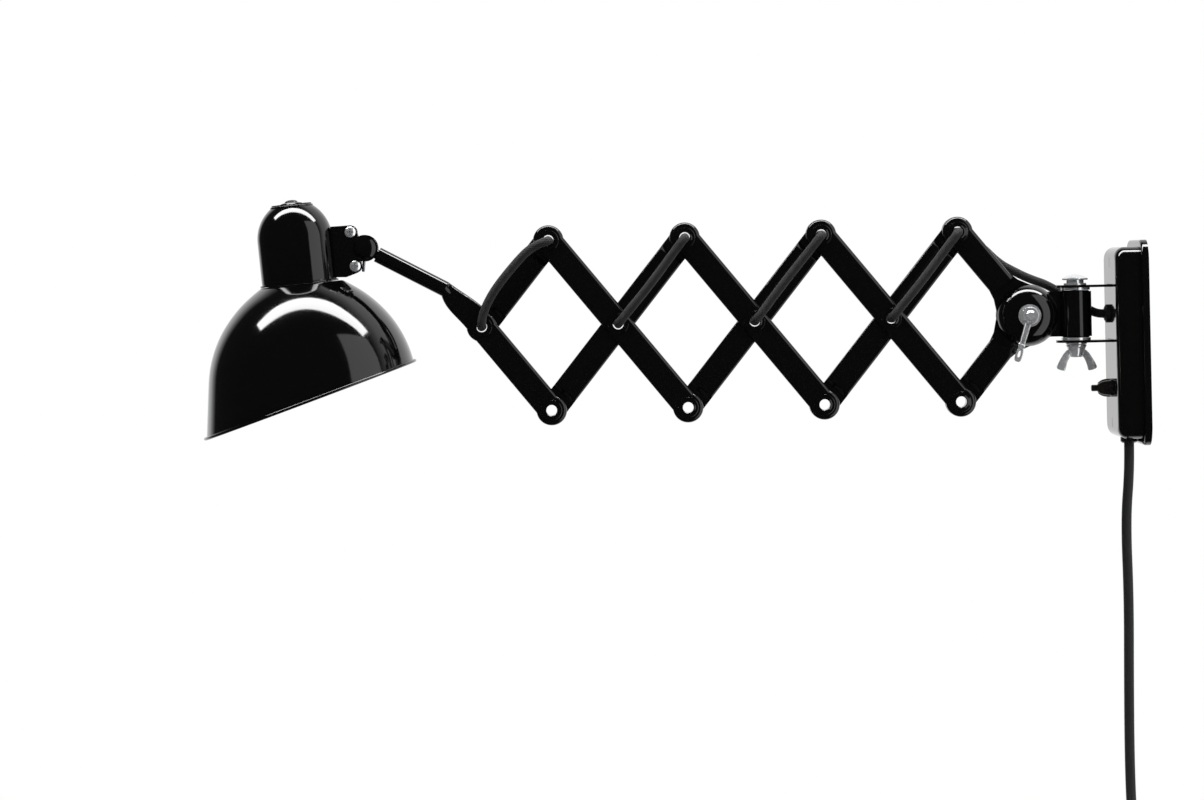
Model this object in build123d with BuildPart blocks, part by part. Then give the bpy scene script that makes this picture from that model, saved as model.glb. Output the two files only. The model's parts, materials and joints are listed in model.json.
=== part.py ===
from build123d import *
from math import atan2, cos, degrees, pi, radians, sin, sqrt, tan
import os

os.makedirs("parts", exist_ok=True)

# Adjustable wall lamp with a scissor arm, a ball-jointed shade and a wall plate. Millimetres.
# X = 0 is the wall and the lamp reaches out along -X, +Z is up, and -Y is the side that is seen first.

# Wall plate and its cover
plate_width = 80.0
plate_height = 152.0
cover_depth = 25.4
cover_sheet = 1.5
cover_edge_radius = 8.0
cover_corner_radius = 12.0
flange_width = 91.0
flange_height = 163.0
flange_depth = 5.6
wall_screw_spacing = 100.0
wall_screw_hole = 2.5
cover_screw_spacing = 128.0

# Swivel: two ears, a barrel between them, a bolt and a wing nut
swivel_x = -53.1
ear_sheet = 2.0
ear_top_z = 46.5
ear_low_z = 2.5
ear_radius = 16.0
barrel_radius = 11.3
strap_radius = 12.75
barrel_low_z = 4.7
barrel_top_z = 42.3
swivel_bolt_radius = 3.0
running_gap = 0.08

# Hub, where the arm tilts and folds
hub_x = -92.0
hub_z = 23.0
hub_bolt_radius = 4.0
dome_radius = 24.2
dome_rim_y = 4.0
dome_crown_y = 19.0
hub_disc_radius = 24.6
hub_tongue_half = 2.0
hub_disc_inner_y = 2.3
hub_disc_outer_y = 3.7

# Scissor links
half_link = 87.0
rest_angle = 51.2
link_width = 21.3
link_end_radius = 12.2
link_height = 6.0
link_sheet = 1.0
link_shoulder = 3.4
layer_gap = 0.5
bays = 4

# Eyelets at the pivots, with the flex led through them
eyelet_bore = 4.3
eyelet_radius = 4.9
eyelet_collar = 8.3
eyelet_front_y = -8.0
flex_radius = 3.5
flex_bend = 8.0
flex_front_y = -14.5
flex_back_y = 13.0

# Shade arm, ball joint and head
tube_radius = 6.25
tube_bore = 5.0
arm_y = -3.5
ball_radius = 7.5
ball_from_hub = (-528.2, 64.7)
crease_from_hub = (-462.2, 29.3)
head_tilt_deg = 4.8
collar_from_hub = (-580.9, 37.1)
cap_radius = 30.0
cap_sheet = 1.2
cap_height = 61.5
shade_offset = 2.0
shade_sheet = 1.0
rim_left = (-87.4, -115.6)
rim_right = (88.1, -69.4)

# Mains lead
lead_radius = 4.0
coil_turns = 5
coil_layers = 2
coil_mid_radius = 44.5
coil_pitch = 8.6

# The pivots of the scissor, from the rest angle
pivot_dx = half_link * cos(radians(rest_angle))
pivot_dz = half_link * sin(radians(rest_angle))


def hub_point(dx, dz, y=0.0):
    """A point given from the hub in the plane of the arm."""
    return Vector(hub_x + dx, y, hub_z + dz)


def centre_pivot(index):
    return hub_point(-2 * pivot_dx * index, 0)


def top_pivot(index):
    return hub_point(-2 * pivot_dx * (index - 0.5), pivot_dz)


def low_pivot(index):
    return hub_point(-2 * pivot_dx * (index - 0.5), -pivot_dz)


def between(first, last, share):
    """The point at a share of the way from one point to another."""
    return first + (last - first) * share


def crown_via(rim, rise):
    """A point on the round crown that starts at a rim radius and rises by a height, at half the rim."""
    round_radius = (rim * rim + rise * rise) / (2 * rise)
    return rim / 2, rise - round_radius + sqrt(round_radius**2 - rim * rim / 4)


def front_plane(origin, towards, y):
    """A plane that faces the viewer, with its x along the line to the second point."""
    along = Vector(towards.X - origin.X, 0, towards.Z - origin.Z)
    return Plane(origin=(origin.X, y, origin.Z), x_dir=along, z_dir=(0, -1, 0))


def edge_plane(origin, towards, y):
    """A plane that holds a link's length and the line of sight, for side profiles."""
    along = Vector(towards.X - origin.X, 0, towards.Z - origin.Z).normalized()
    return Plane(origin=(origin.X, y, origin.Z), x_dir=along, z_dir=along.cross(Vector(0, -1, 0)))


# Mounting plate with two wall-screw holes and two posts for the cover screws
post_radius = 4.0
plate_sheet = 2.0
cover_face_x = -cover_depth
post_length = cover_depth - cover_sheet - plate_sheet
cover_screw_radius = 1.9

with BuildPart() as mounting_plate:
    with BuildSketch(Plane.YZ.offset(-plate_sheet)):
        RectangleRounded(plate_width - 10, plate_height - 8, 8)
        with Locations((0, wall_screw_spacing / 2), (0, -wall_screw_spacing / 2)):
            Circle(wall_screw_hole, mode=Mode.SUBTRACT)
    extrude(amount=plate_sheet)
    with BuildSketch(Plane.YZ.offset(-plate_sheet)):
        with GridLocations(0, cover_screw_spacing, 1, 2):
            Circle(post_radius)
    extrude(amount=-post_length)
    with BuildSketch(Plane.YZ):
        with GridLocations(0, cover_screw_spacing, 1, 2):
            Circle(cover_screw_radius + 0.02)
    extrude(amount=-cover_depth, mode=Mode.SUBTRACT)
mounting_plate.part.label = "mounting_plate"
export_step(mounting_plate.part, "parts/mounting_plate.step")

# Pressed cover: a dish with a rolled flange round it
grommet_y = 6.0
grommet_hole = 5.0
switch_z = -36.3
switch_hole = 6.0
gland_x = -12.5
gland_hole = 4.6
ear_slot_gap = 0.2

with BuildPart() as cover_cavity:
    with BuildSketch(Plane.YZ):
        RectangleRounded(
            plate_width - 2 * cover_sheet, plate_height - 2 * cover_sheet, cover_corner_radius - cover_sheet
        )
    extrude(amount=cover_sheet - cover_depth)
    fillet(cover_cavity.faces().sort_by(Axis.X)[0].edges(), cover_edge_radius - cover_sheet)

with BuildPart() as plate_cover:
    with BuildSketch(Plane.YZ):
        RectangleRounded(flange_width, flange_height, cover_corner_radius + 5)
    extrude(amount=-flange_depth)
    fillet(plate_cover.faces().sort_by(Axis.X)[0].edges(), 2.2)
    with BuildSketch(Plane.YZ.offset(-flange_depth)):
        RectangleRounded(plate_width, plate_height, cover_corner_radius)
    extrude(amount=flange_depth - cover_depth)
    fillet(plate_cover.faces().sort_by(Axis.X)[0].edges(), cover_edge_radius)
    with BuildSketch(Plane.YZ):
        RectangleRounded(
            flange_width - 2 * cover_sheet, flange_height - 2 * cover_sheet, cover_corner_radius + 3.5
        )
    extrude(amount=cover_sheet - flange_depth, mode=Mode.SUBTRACT)
    add(cover_cavity.part, mode=Mode.SUBTRACT)
    with BuildSketch(Plane.YZ):
        with Locations((grommet_y, hub_z)):
            Circle(grommet_hole)
        with Locations((0, switch_z)):
            Circle(switch_hole)
        with GridLocations(0, cover_screw_spacing, 1, 2):
            Circle(cover_screw_radius + 0.02)
        for ear_z in (ear_top_z - ear_sheet / 2, ear_low_z - ear_sheet / 2):
            with Locations((0, ear_z)):
                Rectangle(2 * ear_radius + 2 * ear_slot_gap, ear_sheet + 2 * ear_slot_gap)
    extrude(amount=-2 * cover_depth, mode=Mode.SUBTRACT)
    with BuildSketch(Plane.XY):
        with Locations((gland_x, 0)):
            Circle(gland_hole)
    extrude(amount=-plate_height, mode=Mode.SUBTRACT)
    screw_faces = Plane(origin=(cover_face_x, 0, 0), x_dir=(0, 1, 0), z_dir=(-1, 0, 0))
    with BuildSketch(screw_faces):
        with GridLocations(0, cover_screw_spacing, 1, 2):
            Circle(3.8)
    extrude(amount=-cover_sheet, taper=50, mode=Mode.SUBTRACT)
plate_cover.part.label = "plate_cover"
export_step(plate_cover.part, "parts/plate_cover.step")

# Countersunk screws that hold the cover to the posts
with BuildPart() as cover_screws:
    for screw_z in (cover_screw_spacing / 2, -cover_screw_spacing / 2):
        with BuildSketch(Plane(origin=(cover_face_x, 0, screw_z), x_dir=(1, 0, 0), z_dir=(0, -1, 0))):
            with BuildLine():
                Polyline(
                    (0, 0),
                    (0, 3.7),
                    (1.45, cover_screw_radius),
                    (20, cover_screw_radius),
                    (20, 0),
                    close=True,
                )
            make_face()
        revolve(axis=Axis((cover_face_x, 0, screw_z), (1, 0, 0)))
        with BuildSketch(Plane.YZ.offset(cover_face_x + 0.7)):
            with Locations((0, screw_z)):
                Rectangle(0.8, 8)
        extrude(amount=-2, mode=Mode.SUBTRACT)
cover_screws.part.label = "cover_screws"
export_step(cover_screws.part, "parts/cover_screws.step")

# Bracket with two ears, its base clamped inside the cover
bracket_base_x = -(cover_depth - cover_sheet)

with BuildPart() as swivel_bracket:
    with BuildSketch(Plane.YZ.offset(bracket_base_x)):
        with Locations((0, (ear_top_z + ear_low_z - ear_sheet) / 2)):
            Rectangle(2 * ear_radius, ear_top_z - ear_low_z + ear_sheet)
        with Locations((grommet_y, hub_z)):
            Circle(grommet_hole, mode=Mode.SUBTRACT)
    extrude(amount=ear_sheet)
    for ear_z in (ear_top_z, ear_low_z):
        with BuildSketch(Plane.XY.offset(ear_z)):
            with Locations((swivel_x, 0)):
                Circle(ear_radius)
            with Locations(((swivel_x + bracket_base_x) / 2, 0)):
                Rectangle(bracket_base_x - swivel_x, 2 * ear_radius)
            with Locations((swivel_x, 0)):
                Circle(swivel_bolt_radius + 0.02, mode=Mode.SUBTRACT)
        extrude(amount=-ear_sheet)
swivel_bracket.part.label = "swivel_bracket"
export_step(swivel_bracket.part, "parts/swivel_bracket.step")

# Rubber grommet where the flex leaves the cover
grommet_flange = 7.3
grommet_length = 4.0

with BuildPart() as cable_grommet:
    with BuildSketch(Plane(origin=(cover_face_x, grommet_y, hub_z), x_dir=(1, 0, 0), z_dir=(0, 0, 1))):
        with BuildLine():
            Polyline(
                (-grommet_length, flex_radius),
                (-grommet_length, 5.2),
                (-2.6, grommet_flange),
                (0, grommet_flange),
                (0, grommet_hole - 0.02),
                (cover_sheet + ear_sheet, grommet_hole - 0.02),
                (cover_sheet + ear_sheet, 6.6),
                (cover_sheet + ear_sheet + 1.6, 6.6),
                (cover_sheet + ear_sheet + 1.6, flex_radius),
                close=True,
            )
        make_face()
    revolve(axis=Axis((cover_face_x, grommet_y, hub_z), (1, 0, 0)))
cable_grommet.part.label = "cable_grommet"
export_step(cable_grommet.part, "parts/cable_grommet.step")

# Gland at the foot of the cover, where the mains lead comes in
gland_flange = 6.8
gland_top_z = -plate_height / 2
gland_low_z = gland_top_z - 4.5

with BuildPart() as cord_gland:
    with BuildSketch(Plane(origin=(gland_x, 0, 0), x_dir=(1, 0, 0), z_dir=(0, -1, 0))):
        with BuildLine():
            Polyline(
                (0, gland_low_z),
                (5.6, gland_low_z),
                (gland_flange, gland_low_z + 1.2),
                (gland_flange, gland_top_z),
                (gland_hole - 0.02, gland_top_z),
                (gland_hole - 0.02, gland_top_z + cover_sheet),
                (5.2, gland_top_z + cover_sheet),
                (5.2, gland_top_z + cover_sheet + 3),
                (0, gland_top_z + cover_sheet + 3),
                close=True,
            )
        make_face()
    revolve(axis=Axis((gland_x, 0, 0), (0, 0, 1)))
cord_gland.part.label = "cord_gland"
export_step(cord_gland.part, "parts/cord_gland.step")

# Push switch: a body inside, a fluted bezel outside and a button that travels
bezel_radius = 7.35
bezel_tip_x = -36.6
button_radius = 2.6
button_tip_x = -41.9
button_travel = 3.0
bezel_bore = button_radius + 0.3
switch_inner_x = cover_face_x + cover_sheet

with BuildPart() as switch_body:
    with BuildSketch(Plane.YZ.offset(switch_inner_x)):
        with Locations((0, switch_z)):
            RectangleRounded(20, 16, 2)
    extrude(amount=13)
    with BuildSketch(Plane.YZ.offset(switch_inner_x)):
        with Locations((0, switch_z)):
            Circle(switch_hole - 0.02)
    extrude(amount=-cover_sheet)
    with BuildSketch(Plane.YZ.offset(cover_face_x)):
        with Locations((0, switch_z)):
            Circle(bezel_bore)
    extrude(amount=9, mode=Mode.SUBTRACT)
switch_body.part.label = "switch_body"
export_step(switch_body.part, "parts/switch_body.step")

with BuildPart() as switch_bezel:
    with BuildSketch(Plane(origin=(0, 0, switch_z), x_dir=(1, 0, 0), z_dir=(0, -1, 0))):
        with BuildLine():
            l1 = Line((cover_face_x, bezel_bore), (cover_face_x, bezel_radius))
            l2 = Line(l1 @ 1, (cover_face_x - 2, bezel_radius))
            l3 = ThreePointArc(l2 @ 1, (-32.4, 6.1), (bezel_tip_x, 4.0))
            l4 = Line(l3 @ 1, (bezel_tip_x, bezel_bore))
            Line(l4 @ 1, l1 @ 0)
        make_face()
    revolve(axis=Axis((0, 0, switch_z), (1, 0, 0)))
    with BuildSketch(Plane.YZ.offset(cover_face_x - 2.2)):
        with Locations((0, switch_z)):
            with PolarLocations(bezel_radius + 0.35, 18):
                Circle(0.75)
    extrude(amount=-12, mode=Mode.SUBTRACT)
switch_bezel.part.label = "switch_bezel"
export_step(switch_bezel.part, "parts/switch_bezel.step")

with BuildPart() as switch_button:
    with BuildSketch(Plane.YZ.offset(button_tip_x)):
        with Locations((0, switch_z)):
            Circle(button_radius)
    extrude(amount=cover_face_x - button_tip_x + 3)
    fillet(switch_button.faces().sort_by(Axis.X)[0].edges(), 1.1)
switch_button.part.label = "switch_button"
export_step(switch_button.part, "parts/switch_button.step")

# Terminal block on the mounting plate, with its screw wells
with BuildPart() as terminal_block:
    with BuildSketch(Plane.YZ.offset(-plate_sheet)):
        with Locations((22, -6)):
            RectangleRounded(18, 34, 1.5)
    extrude(amount=-12)
    with BuildSketch(Plane.YZ.offset(-plate_sheet - 12)):
        with Locations((22, -6)):
            with GridLocations(9, 11, 2, 3):
                Circle(2)
    extrude(amount=7, mode=Mode.SUBTRACT)
terminal_block.part.label = "terminal_block"
export_step(terminal_block.part, "parts/terminal_block.step")

# Swivel bolt: domed head above the top ear, threaded end below the lower one
bolt_head_radius = 10.5
bolt_head_low = ear_top_z + 4.0
bolt_head_high = bolt_head_low + 4.6
bolt_end_z = -10.8
swivel_axis = Axis((swivel_x, 0, 0), (0, 0, 1))
swivel_profile = Plane(origin=(swivel_x, 0, 0), x_dir=(1, 0, 0), z_dir=(0, -1, 0))

with BuildPart() as swivel_bolt:
    with BuildSketch(swivel_profile):
        with BuildLine():
            l1 = Polyline(
                (0, bolt_end_z),
                (swivel_bolt_radius - 0.6, bolt_end_z),
                (swivel_bolt_radius, bolt_end_z + 0.6),
                (swivel_bolt_radius, bolt_head_low),
                (bolt_head_radius - 0.4, bolt_head_low),
                (bolt_head_radius, bolt_head_low + 1.2),
            )
            crown_r, crown_rise = crown_via(bolt_head_radius, bolt_head_high - bolt_head_low - 1.2)
            l2 = ThreePointArc(l1 @ 1, (crown_r, bolt_head_low + 1.2 + crown_rise), (0, bolt_head_high))
            Line(l2 @ 1, l1 @ 0)
        make_face()
    revolve(axis=swivel_axis)
swivel_bolt.part.label = "swivel_bolt"
export_step(swivel_bolt.part, "parts/swivel_bolt.step")

# Washers on the swivel bolt, from the bolt head down to the wing nut
washer_bore = swivel_bolt_radius + 0.02
washer_stack = (
    (ear_top_z, ear_top_z + 1.4, 9.0),
    (ear_top_z + 1.4, bolt_head_low, 7.0),
    (barrel_top_z + 0.2, ear_top_z - ear_sheet, 11.8),
    (ear_low_z, barrel_low_z - 0.2, 11.8),
    (ear_low_z - ear_sheet - 1.2, ear_low_z - ear_sheet, 8.6),
)

with BuildPart() as swivel_washers:
    for washer_low, washer_high, washer_radius in washer_stack:
        with BuildSketch(Plane.XY.offset(washer_low)):
            with Locations((swivel_x, 0)):
                Circle(washer_radius)
                Circle(washer_bore, mode=Mode.SUBTRACT)
        extrude(amount=washer_high - washer_low)
swivel_washers.part.label = "swivel_washers"
export_step(swivel_washers.part, "parts/swivel_washers.step")

# Wing nut: a cone with two wings that sweep down and out
nut_top_z = ear_low_z - ear_sheet - 1.4
nut_low_z = nut_top_z - 10.4
wing_half_span = 16.1
wing_sheet = 3.0

with BuildPart() as wing_nut:
    with BuildSketch(swivel_profile):
        with BuildLine():
            Polyline(
                (swivel_bolt_radius + running_gap, nut_top_z),
                (8.2, nut_top_z),
                (8.2, nut_top_z - 1.6),
                (4.9, nut_low_z),
                (swivel_bolt_radius + running_gap, nut_low_z),
                close=True,
            )
        make_face()
    revolve(axis=swivel_axis)
    for side in (1, -1):
        with BuildSketch(swivel_profile):
            with BuildLine():
                l1 = Line((side * 5.2, nut_top_z - 3.2), (side * 4.8, nut_low_z + 1.6))
                l2 = ThreePointArc(l1 @ 1, (side * 7.6, nut_low_z - 4.7), (side * 9.1, nut_low_z - 10.7))
                l3 = Line(l2 @ 1, (side * wing_half_span, nut_low_z - 7.9))
                ThreePointArc(l3 @ 1, (side * 12.4, nut_low_z - 1.3), l1 @ 0)
            make_face()
        extrude(amount=wing_sheet / 2, both=True)
    fillet(wing_nut.edges().filter_by(Axis.Y), 0.4)
wing_nut.part.label = "wing_nut"
export_step(wing_nut.part, "parts/wing_nut.step")

# Barrel on the swivel bolt, and the strap that wraps it and makes the tongue of the hub
with BuildPart() as swivel_barrel:
    with BuildSketch(Plane.XY.offset(barrel_low_z)):
        with Locations((swivel_x, 0)):
            Circle(barrel_radius)
            Circle(swivel_bolt_radius + running_gap, mode=Mode.SUBTRACT)
    extrude(amount=barrel_top_z - barrel_low_z)
    chamfer(swivel_barrel.edges().filter_by(GeomType.CIRCLE).sort_by(SortBy.RADIUS)[-2:], 0.8)
swivel_barrel.part.label = "swivel_barrel"
export_step(swivel_barrel.part, "parts/swivel_barrel.step")

strap_low_z = barrel_low_z + 0.8
strap_top_z = barrel_top_z - 0.8
tongue_radius = 19.0

with BuildPart() as hub_strap:
    with BuildSketch(Plane.XY.offset(strap_low_z)):
        with Locations((swivel_x, 0)):
            Circle(strap_radius)
        with Locations(((swivel_x + hub_x) / 2, 0)):
            Rectangle(swivel_x - hub_x, 2 * hub_tongue_half)
        with Locations((swivel_x, 0)):
            Circle(barrel_radius + 0.05, mode=Mode.SUBTRACT)
    extrude(amount=strap_top_z - strap_low_z)
    with BuildSketch(Plane.XZ.offset(-hub_tongue_half)):
        with Locations((hub_x, hub_z)):
            Circle(tongue_radius)
    extrude(amount=2 * hub_tongue_half)
    with BuildSketch(Plane.XZ.offset(-2 * hub_tongue_half)):
        with Locations((hub_x, hub_z)):
            Circle(hub_bolt_radius + running_gap)
    extrude(amount=4 * hub_tongue_half, mode=Mode.SUBTRACT)
hub_strap.part.label = "hub_strap"
export_step(hub_strap.part, "parts/hub_strap.step")

# Hub bolt, the two domes, the washers with the front nut, and the clamp lever
hub_axis = Axis((hub_x, 0, hub_z), (0, 1, 0))
hub_profile = Plane(origin=(hub_x, 0, hub_z), x_dir=(1, 0, 0), z_dir=(0, 0, 1))
front_washer_y = -20.5
lever_front_y = -23.8
nut_front_y = -27.2
bolt_front_y = -28.5
bolt_back_y = dome_crown_y + 5.0

with BuildPart() as hub_bolt:
    with BuildSketch(hub_profile):
        with BuildLine():
            Polyline(
                (0, bolt_front_y),
                (hub_bolt_radius - 0.8, bolt_front_y),
                (hub_bolt_radius, bolt_front_y + 0.8),
                (hub_bolt_radius, dome_crown_y + 1.2),
                (7.5, dome_crown_y + 1.2),
                (7.5, bolt_back_y - 0.8),
                (6.7, bolt_back_y),
                (0, bolt_back_y),
                close=True,
            )
        make_face()
    revolve(axis=hub_axis)
hub_bolt.part.label = "hub_bolt"
export_step(hub_bolt.part, "parts/hub_bolt.step")


def dome_outline(side, shrink):
    """Half of a dome's section: rim, shoulder and flat crown, on one side of the arm."""
    rim = dome_radius - shrink
    crown = dome_crown_y - shrink
    foot = Line((0, side * dome_rim_y), (rim, side * dome_rim_y))
    wall = Line(foot @ 1, (rim, side * (dome_rim_y + 1.6)))
    shoulder = ThreePointArc(
        wall @ 1,
        (rim * 0.80, side * (dome_rim_y + (crown - dome_rim_y) * 0.72)),
        (rim * 0.42, side * crown),
    )
    crown_line = Line(shoulder @ 1, (0, side * crown))
    Line(crown_line @ 1, foot @ 0)


for dome_name, dome_side in (("front_dome", -1), ("back_dome", 1)):
    with BuildPart() as hub_dome:
        with BuildSketch(hub_profile):
            with BuildLine():
                dome_outline(dome_side, 0)
            make_face()
        revolve(axis=hub_axis)
        with BuildSketch(hub_profile):
            with BuildLine():
                dome_outline(dome_side, 1.4)
            make_face()
        revolve(axis=hub_axis, mode=Mode.SUBTRACT)
        with BuildSketch(Plane.XZ.offset(-2 * dome_crown_y)):
            with Locations((hub_x, hub_z)):
                Circle(hub_bolt_radius + 0.02)
        extrude(amount=4 * dome_crown_y, mode=Mode.SUBTRACT)
    hub_dome.part.label = dome_name
    export_step(hub_dome.part, f"parts/{dome_name}.step")

hub_ring_bore = hub_bolt_radius + 0.02

with BuildPart() as hub_washers:
    with BuildSketch(Plane.XZ.offset(dome_crown_y)):
        with Locations((hub_x, hub_z)):
            Circle(9.0)
            Circle(hub_ring_bore, mode=Mode.SUBTRACT)
    extrude(amount=-front_washer_y - dome_crown_y)
    with BuildSketch(Plane.XZ.offset(-dome_crown_y - 1.2)):
        with Locations((hub_x, hub_z)):
            Circle(9.0)
            Circle(hub_ring_bore, mode=Mode.SUBTRACT)
    extrude(amount=1.2)
    with BuildSketch(Plane.XZ.offset(-lever_front_y + 0.2)):
        with Locations((hub_x, hub_z)):
            RegularPolygon(6.2, 6)
            Circle(hub_ring_bore, mode=Mode.SUBTRACT)
    extrude(amount=lever_front_y - 0.2 - nut_front_y)
hub_washers.part.label = "hub_washers"
export_step(hub_washers.part, "parts/hub_washers.step")

# Clamp lever: a ring on the bolt, a channel-shaped shank, a knuckle and a paddle
lever_angle = 17.0
lever_length = 38.0
lever_plane = Plane(
    origin=(hub_x, lever_front_y, hub_z),
    x_dir=(-sin(radians(lever_angle)), 0, -cos(radians(lever_angle))),
    z_dir=(0, -1, 0),
)
lever_thick = lever_front_y - front_washer_y + 0.2

with BuildPart() as clamp_lever:
    with BuildSketch(lever_plane):
        Circle(7.0)
        with Locations((14, 0)):
            Rectangle(28, 4.4)
        with Locations((31, 0)):
            RectangleRounded(2 * (lever_length - 31), 5.6, 1.5)
    extrude(amount=lever_thick)
    with BuildSketch(lever_plane):
        with Locations((14.5, 0)):
            Rectangle(13, 2.2)
    extrude(amount=lever_thick + 1.6, mode=Mode.SUBTRACT)
    with BuildSketch(lever_plane):
        Circle(hub_bolt_radius + running_gap)
    extrude(amount=lever_thick, mode=Mode.SUBTRACT)
clamp_lever.part.label = "clamp_lever"
export_step(clamp_lever.part, "parts/clamp_lever.step")

# Scissor links. Those of the near layer bulge towards the viewer with their open side behind.
# Those of the far layer have a raised middle that slopes down to flat ends.
near_back_y = -layer_gap
far_back_y = layer_gap + link_height
end_drop = 2.0
slope_start = 15.0
slope_end = 19.0
eyelet_fit = 0.02
turning_fit = 0.07


def link_outline(length, shrink=0.0):
    """A strip with a round disc at each end, its x from the first pivot to the last."""
    with Locations((length / 2, 0)):
        Rectangle(length, link_width - 2 * shrink)
    with Locations((0, 0), (length, 0)):
        Circle(link_end_radius - shrink)


def near_shell(length, first, last):
    """A near link: its shoulder runs round both ends."""
    plane = front_plane(first, last, near_back_y)
    with BuildPart() as shell:
        with BuildSketch(plane):
            link_outline(length)
        extrude(amount=link_height)
        fillet(shell.faces().sort_by(Axis.Y)[0].edges(), link_shoulder)
        with BuildSketch(plane):
            link_outline(length, link_sheet)
        extrude(amount=link_height - link_sheet, mode=Mode.SUBTRACT)
    return shell.part


def far_shell(length, first, last, start=slope_start, finish=slope_start):
    """A far link: flat ends and a raised middle with sloping ends."""
    plane = front_plane(first, last, far_back_y)
    side = edge_plane(first, last, far_back_y)
    slope = slope_end - slope_start
    with BuildPart() as shell:
        with BuildSketch(side):
            with BuildLine():
                Polyline(
                    (start, 0),
                    (start, link_height - end_drop),
                    (start + slope, link_height),
                    (length - finish - slope, link_height),
                    (length - finish, link_height - end_drop),
                    (length - finish, 0),
                    close=True,
                )
            make_face()
        extrude(amount=link_width / 2, both=True)
        fillet(shell.faces().sort_by(Axis.Y)[0].edges(), link_shoulder / 2)
        with BuildSketch(plane):
            link_outline(length)
        extrude(amount=link_height - end_drop)
        with BuildSketch(plane):
            link_outline(length, link_sheet)
        extrude(amount=link_height - end_drop - link_sheet, mode=Mode.SUBTRACT)
        with BuildSketch(plane):
            with Locations((length / 2 + (start - finish) / 2, 0)):
                Rectangle(length - start - finish - 2 * slope, link_width - 2 * link_sheet - 1.6)
        extrude(amount=link_height - link_sheet, mode=Mode.SUBTRACT)
    return shell.part


# The turning hole takes an eyelet that belongs to another link, the fixed hole takes the link's own
tight_hole = eyelet_radius + eyelet_fit
turning_hole = eyelet_radius + turning_fit
open_hole = eyelet_radius + 0.2


def pierce(pivot, radius):
    """A hole through both layers at a pivot."""
    with BuildSketch(Plane(origin=(pivot.X, -15, pivot.Z), x_dir=(1, 0, 0), z_dir=(0, -1, 0))) as hole:
        Circle(radius)
    extrude(hole.sketch, amount=-30, mode=Mode.SUBTRACT)


# Near links 1 to 3 run from a low pivot through a centre pivot to the next top pivot
for index in range(1, bays):
    first = low_pivot(index)
    last = top_pivot(index + 1)
    with BuildPart() as near_link:
        add(near_shell(2 * half_link, first, last))
        pierce(first, open_hole if index in (1, 3) else turning_hole)
        pierce(centre_pivot(index), turning_hole)
        pierce(last, open_hole if index in (1, 3) else turning_hole)
    near_link.part.label = f"near_link_{index}"
    export_step(near_link.part, f"parts/near_link_{index}.step")

# Far links 1 to 3 run from a top pivot through a centre pivot to the next low pivot
for index in range(1, bays):
    first = top_pivot(index)
    last = low_pivot(index + 1)
    with BuildPart() as far_link:
        add(far_shell(2 * half_link, first, last))
        for pivot in (first, centre_pivot(index), last):
            pierce(pivot, tight_hole)
    far_link.part.label = f"far_link_{index}"
    export_step(far_link.part, f"parts/far_link_{index}.step")

# Half links at the hub: a channel that ends in a large flat disc round the hub bolt
hub_channel_start = 31.0
hub_centre = hub_point(0, 0)


def hub_disc(plane, thickness):
    """The flat disc at the hub, with a neck that widens from the channel."""
    with BuildSketch(plane) as disc:
        Circle(hub_disc_radius)
        with BuildLine():
            Polyline(
                (0, 19.5),
                (16, 18.2),
                (27, 12.5),
                (40, link_width / 2 - 1.2),
                (40, 1.2 - link_width / 2),
                (27, -12.5),
                (16, -18.2),
                (0, -19.5),
                close=True,
            )
        make_face()
    extrude(disc.sketch, amount=thickness)


disc_sheet = hub_disc_outer_y - hub_disc_inner_y
near_half_end = top_pivot(1)
near_half_plane = front_plane(hub_centre, near_half_end, -hub_disc_inner_y)

with BuildPart() as near_half:
    add(near_shell(half_link, hub_centre, near_half_end))
    with BuildSketch(front_plane(hub_centre, near_half_end, near_back_y + 1)):
        Rectangle(2 * hub_channel_start, 60)
    extrude(amount=link_height + 2, mode=Mode.SUBTRACT)
    hub_disc(near_half_plane, disc_sheet)
    pierce(near_half_end, turning_hole)
    pierce(hub_centre, hub_bolt_radius + running_gap)
near_half.part.label = "near_half_link"
export_step(near_half.part, "parts/near_half_link.step")

far_half_end = low_pivot(1)
far_half_plane = front_plane(hub_centre, far_half_end, hub_disc_outer_y)

with BuildPart() as far_half:
    add(far_shell(half_link, hub_centre, far_half_end))
    with BuildSketch(front_plane(hub_centre, far_half_end, far_back_y + 1)):
        Rectangle(2 * hub_channel_start, 60)
    extrude(amount=link_height + 2, mode=Mode.SUBTRACT)
    hub_disc(far_half_plane, disc_sheet)
    pierce(far_half_end, tight_hole)
    pierce(hub_centre, hub_bolt_radius + running_gap)
far_half.part.label = "far_half_link"
export_step(far_half.part, "parts/far_half_link.step")

# The last far link is a half link between the last top pivot and the last centre pivot
with BuildPart() as far_last:
    add(far_shell(half_link, top_pivot(bays), centre_pivot(bays)))
    pierce(top_pivot(bays), tight_hole)
    pierce(centre_pivot(bays), tight_hole)
far_last.part.label = "far_end_link"
export_step(far_last.part, "parts/far_end_link.step")

# Shade arm: a near link from the last low pivot through the last centre pivot, drawn into a tube
arm_low = low_pivot(bays)
arm_pivot = centre_pivot(bays)
crease = hub_point(crease_from_hub[0], crease_from_hub[1], arm_y)
ball_centre = hub_point(ball_from_hub[0], ball_from_hub[1], arm_y)
tube_dir = (ball_centre - crease).normalized()
link_dir = (arm_pivot - arm_low).normalized()
tube_reach = 11.3
tube_end = ball_centre - tube_dir * tube_reach
flat_reach = 14.0
flat_end = arm_pivot + link_dir * flat_reach
flat_end_y = near_back_y - link_height / 2
bend_mid = hub_point(-455.5, 20.5, arm_y)
bend_dir = Vector(-0.70, 0, 0.714)
flex_entry = hub_point(-491.0, 44.8, arm_y)
flex_run_in = hub_point(-474.0, 34.5, 6.0)


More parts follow.
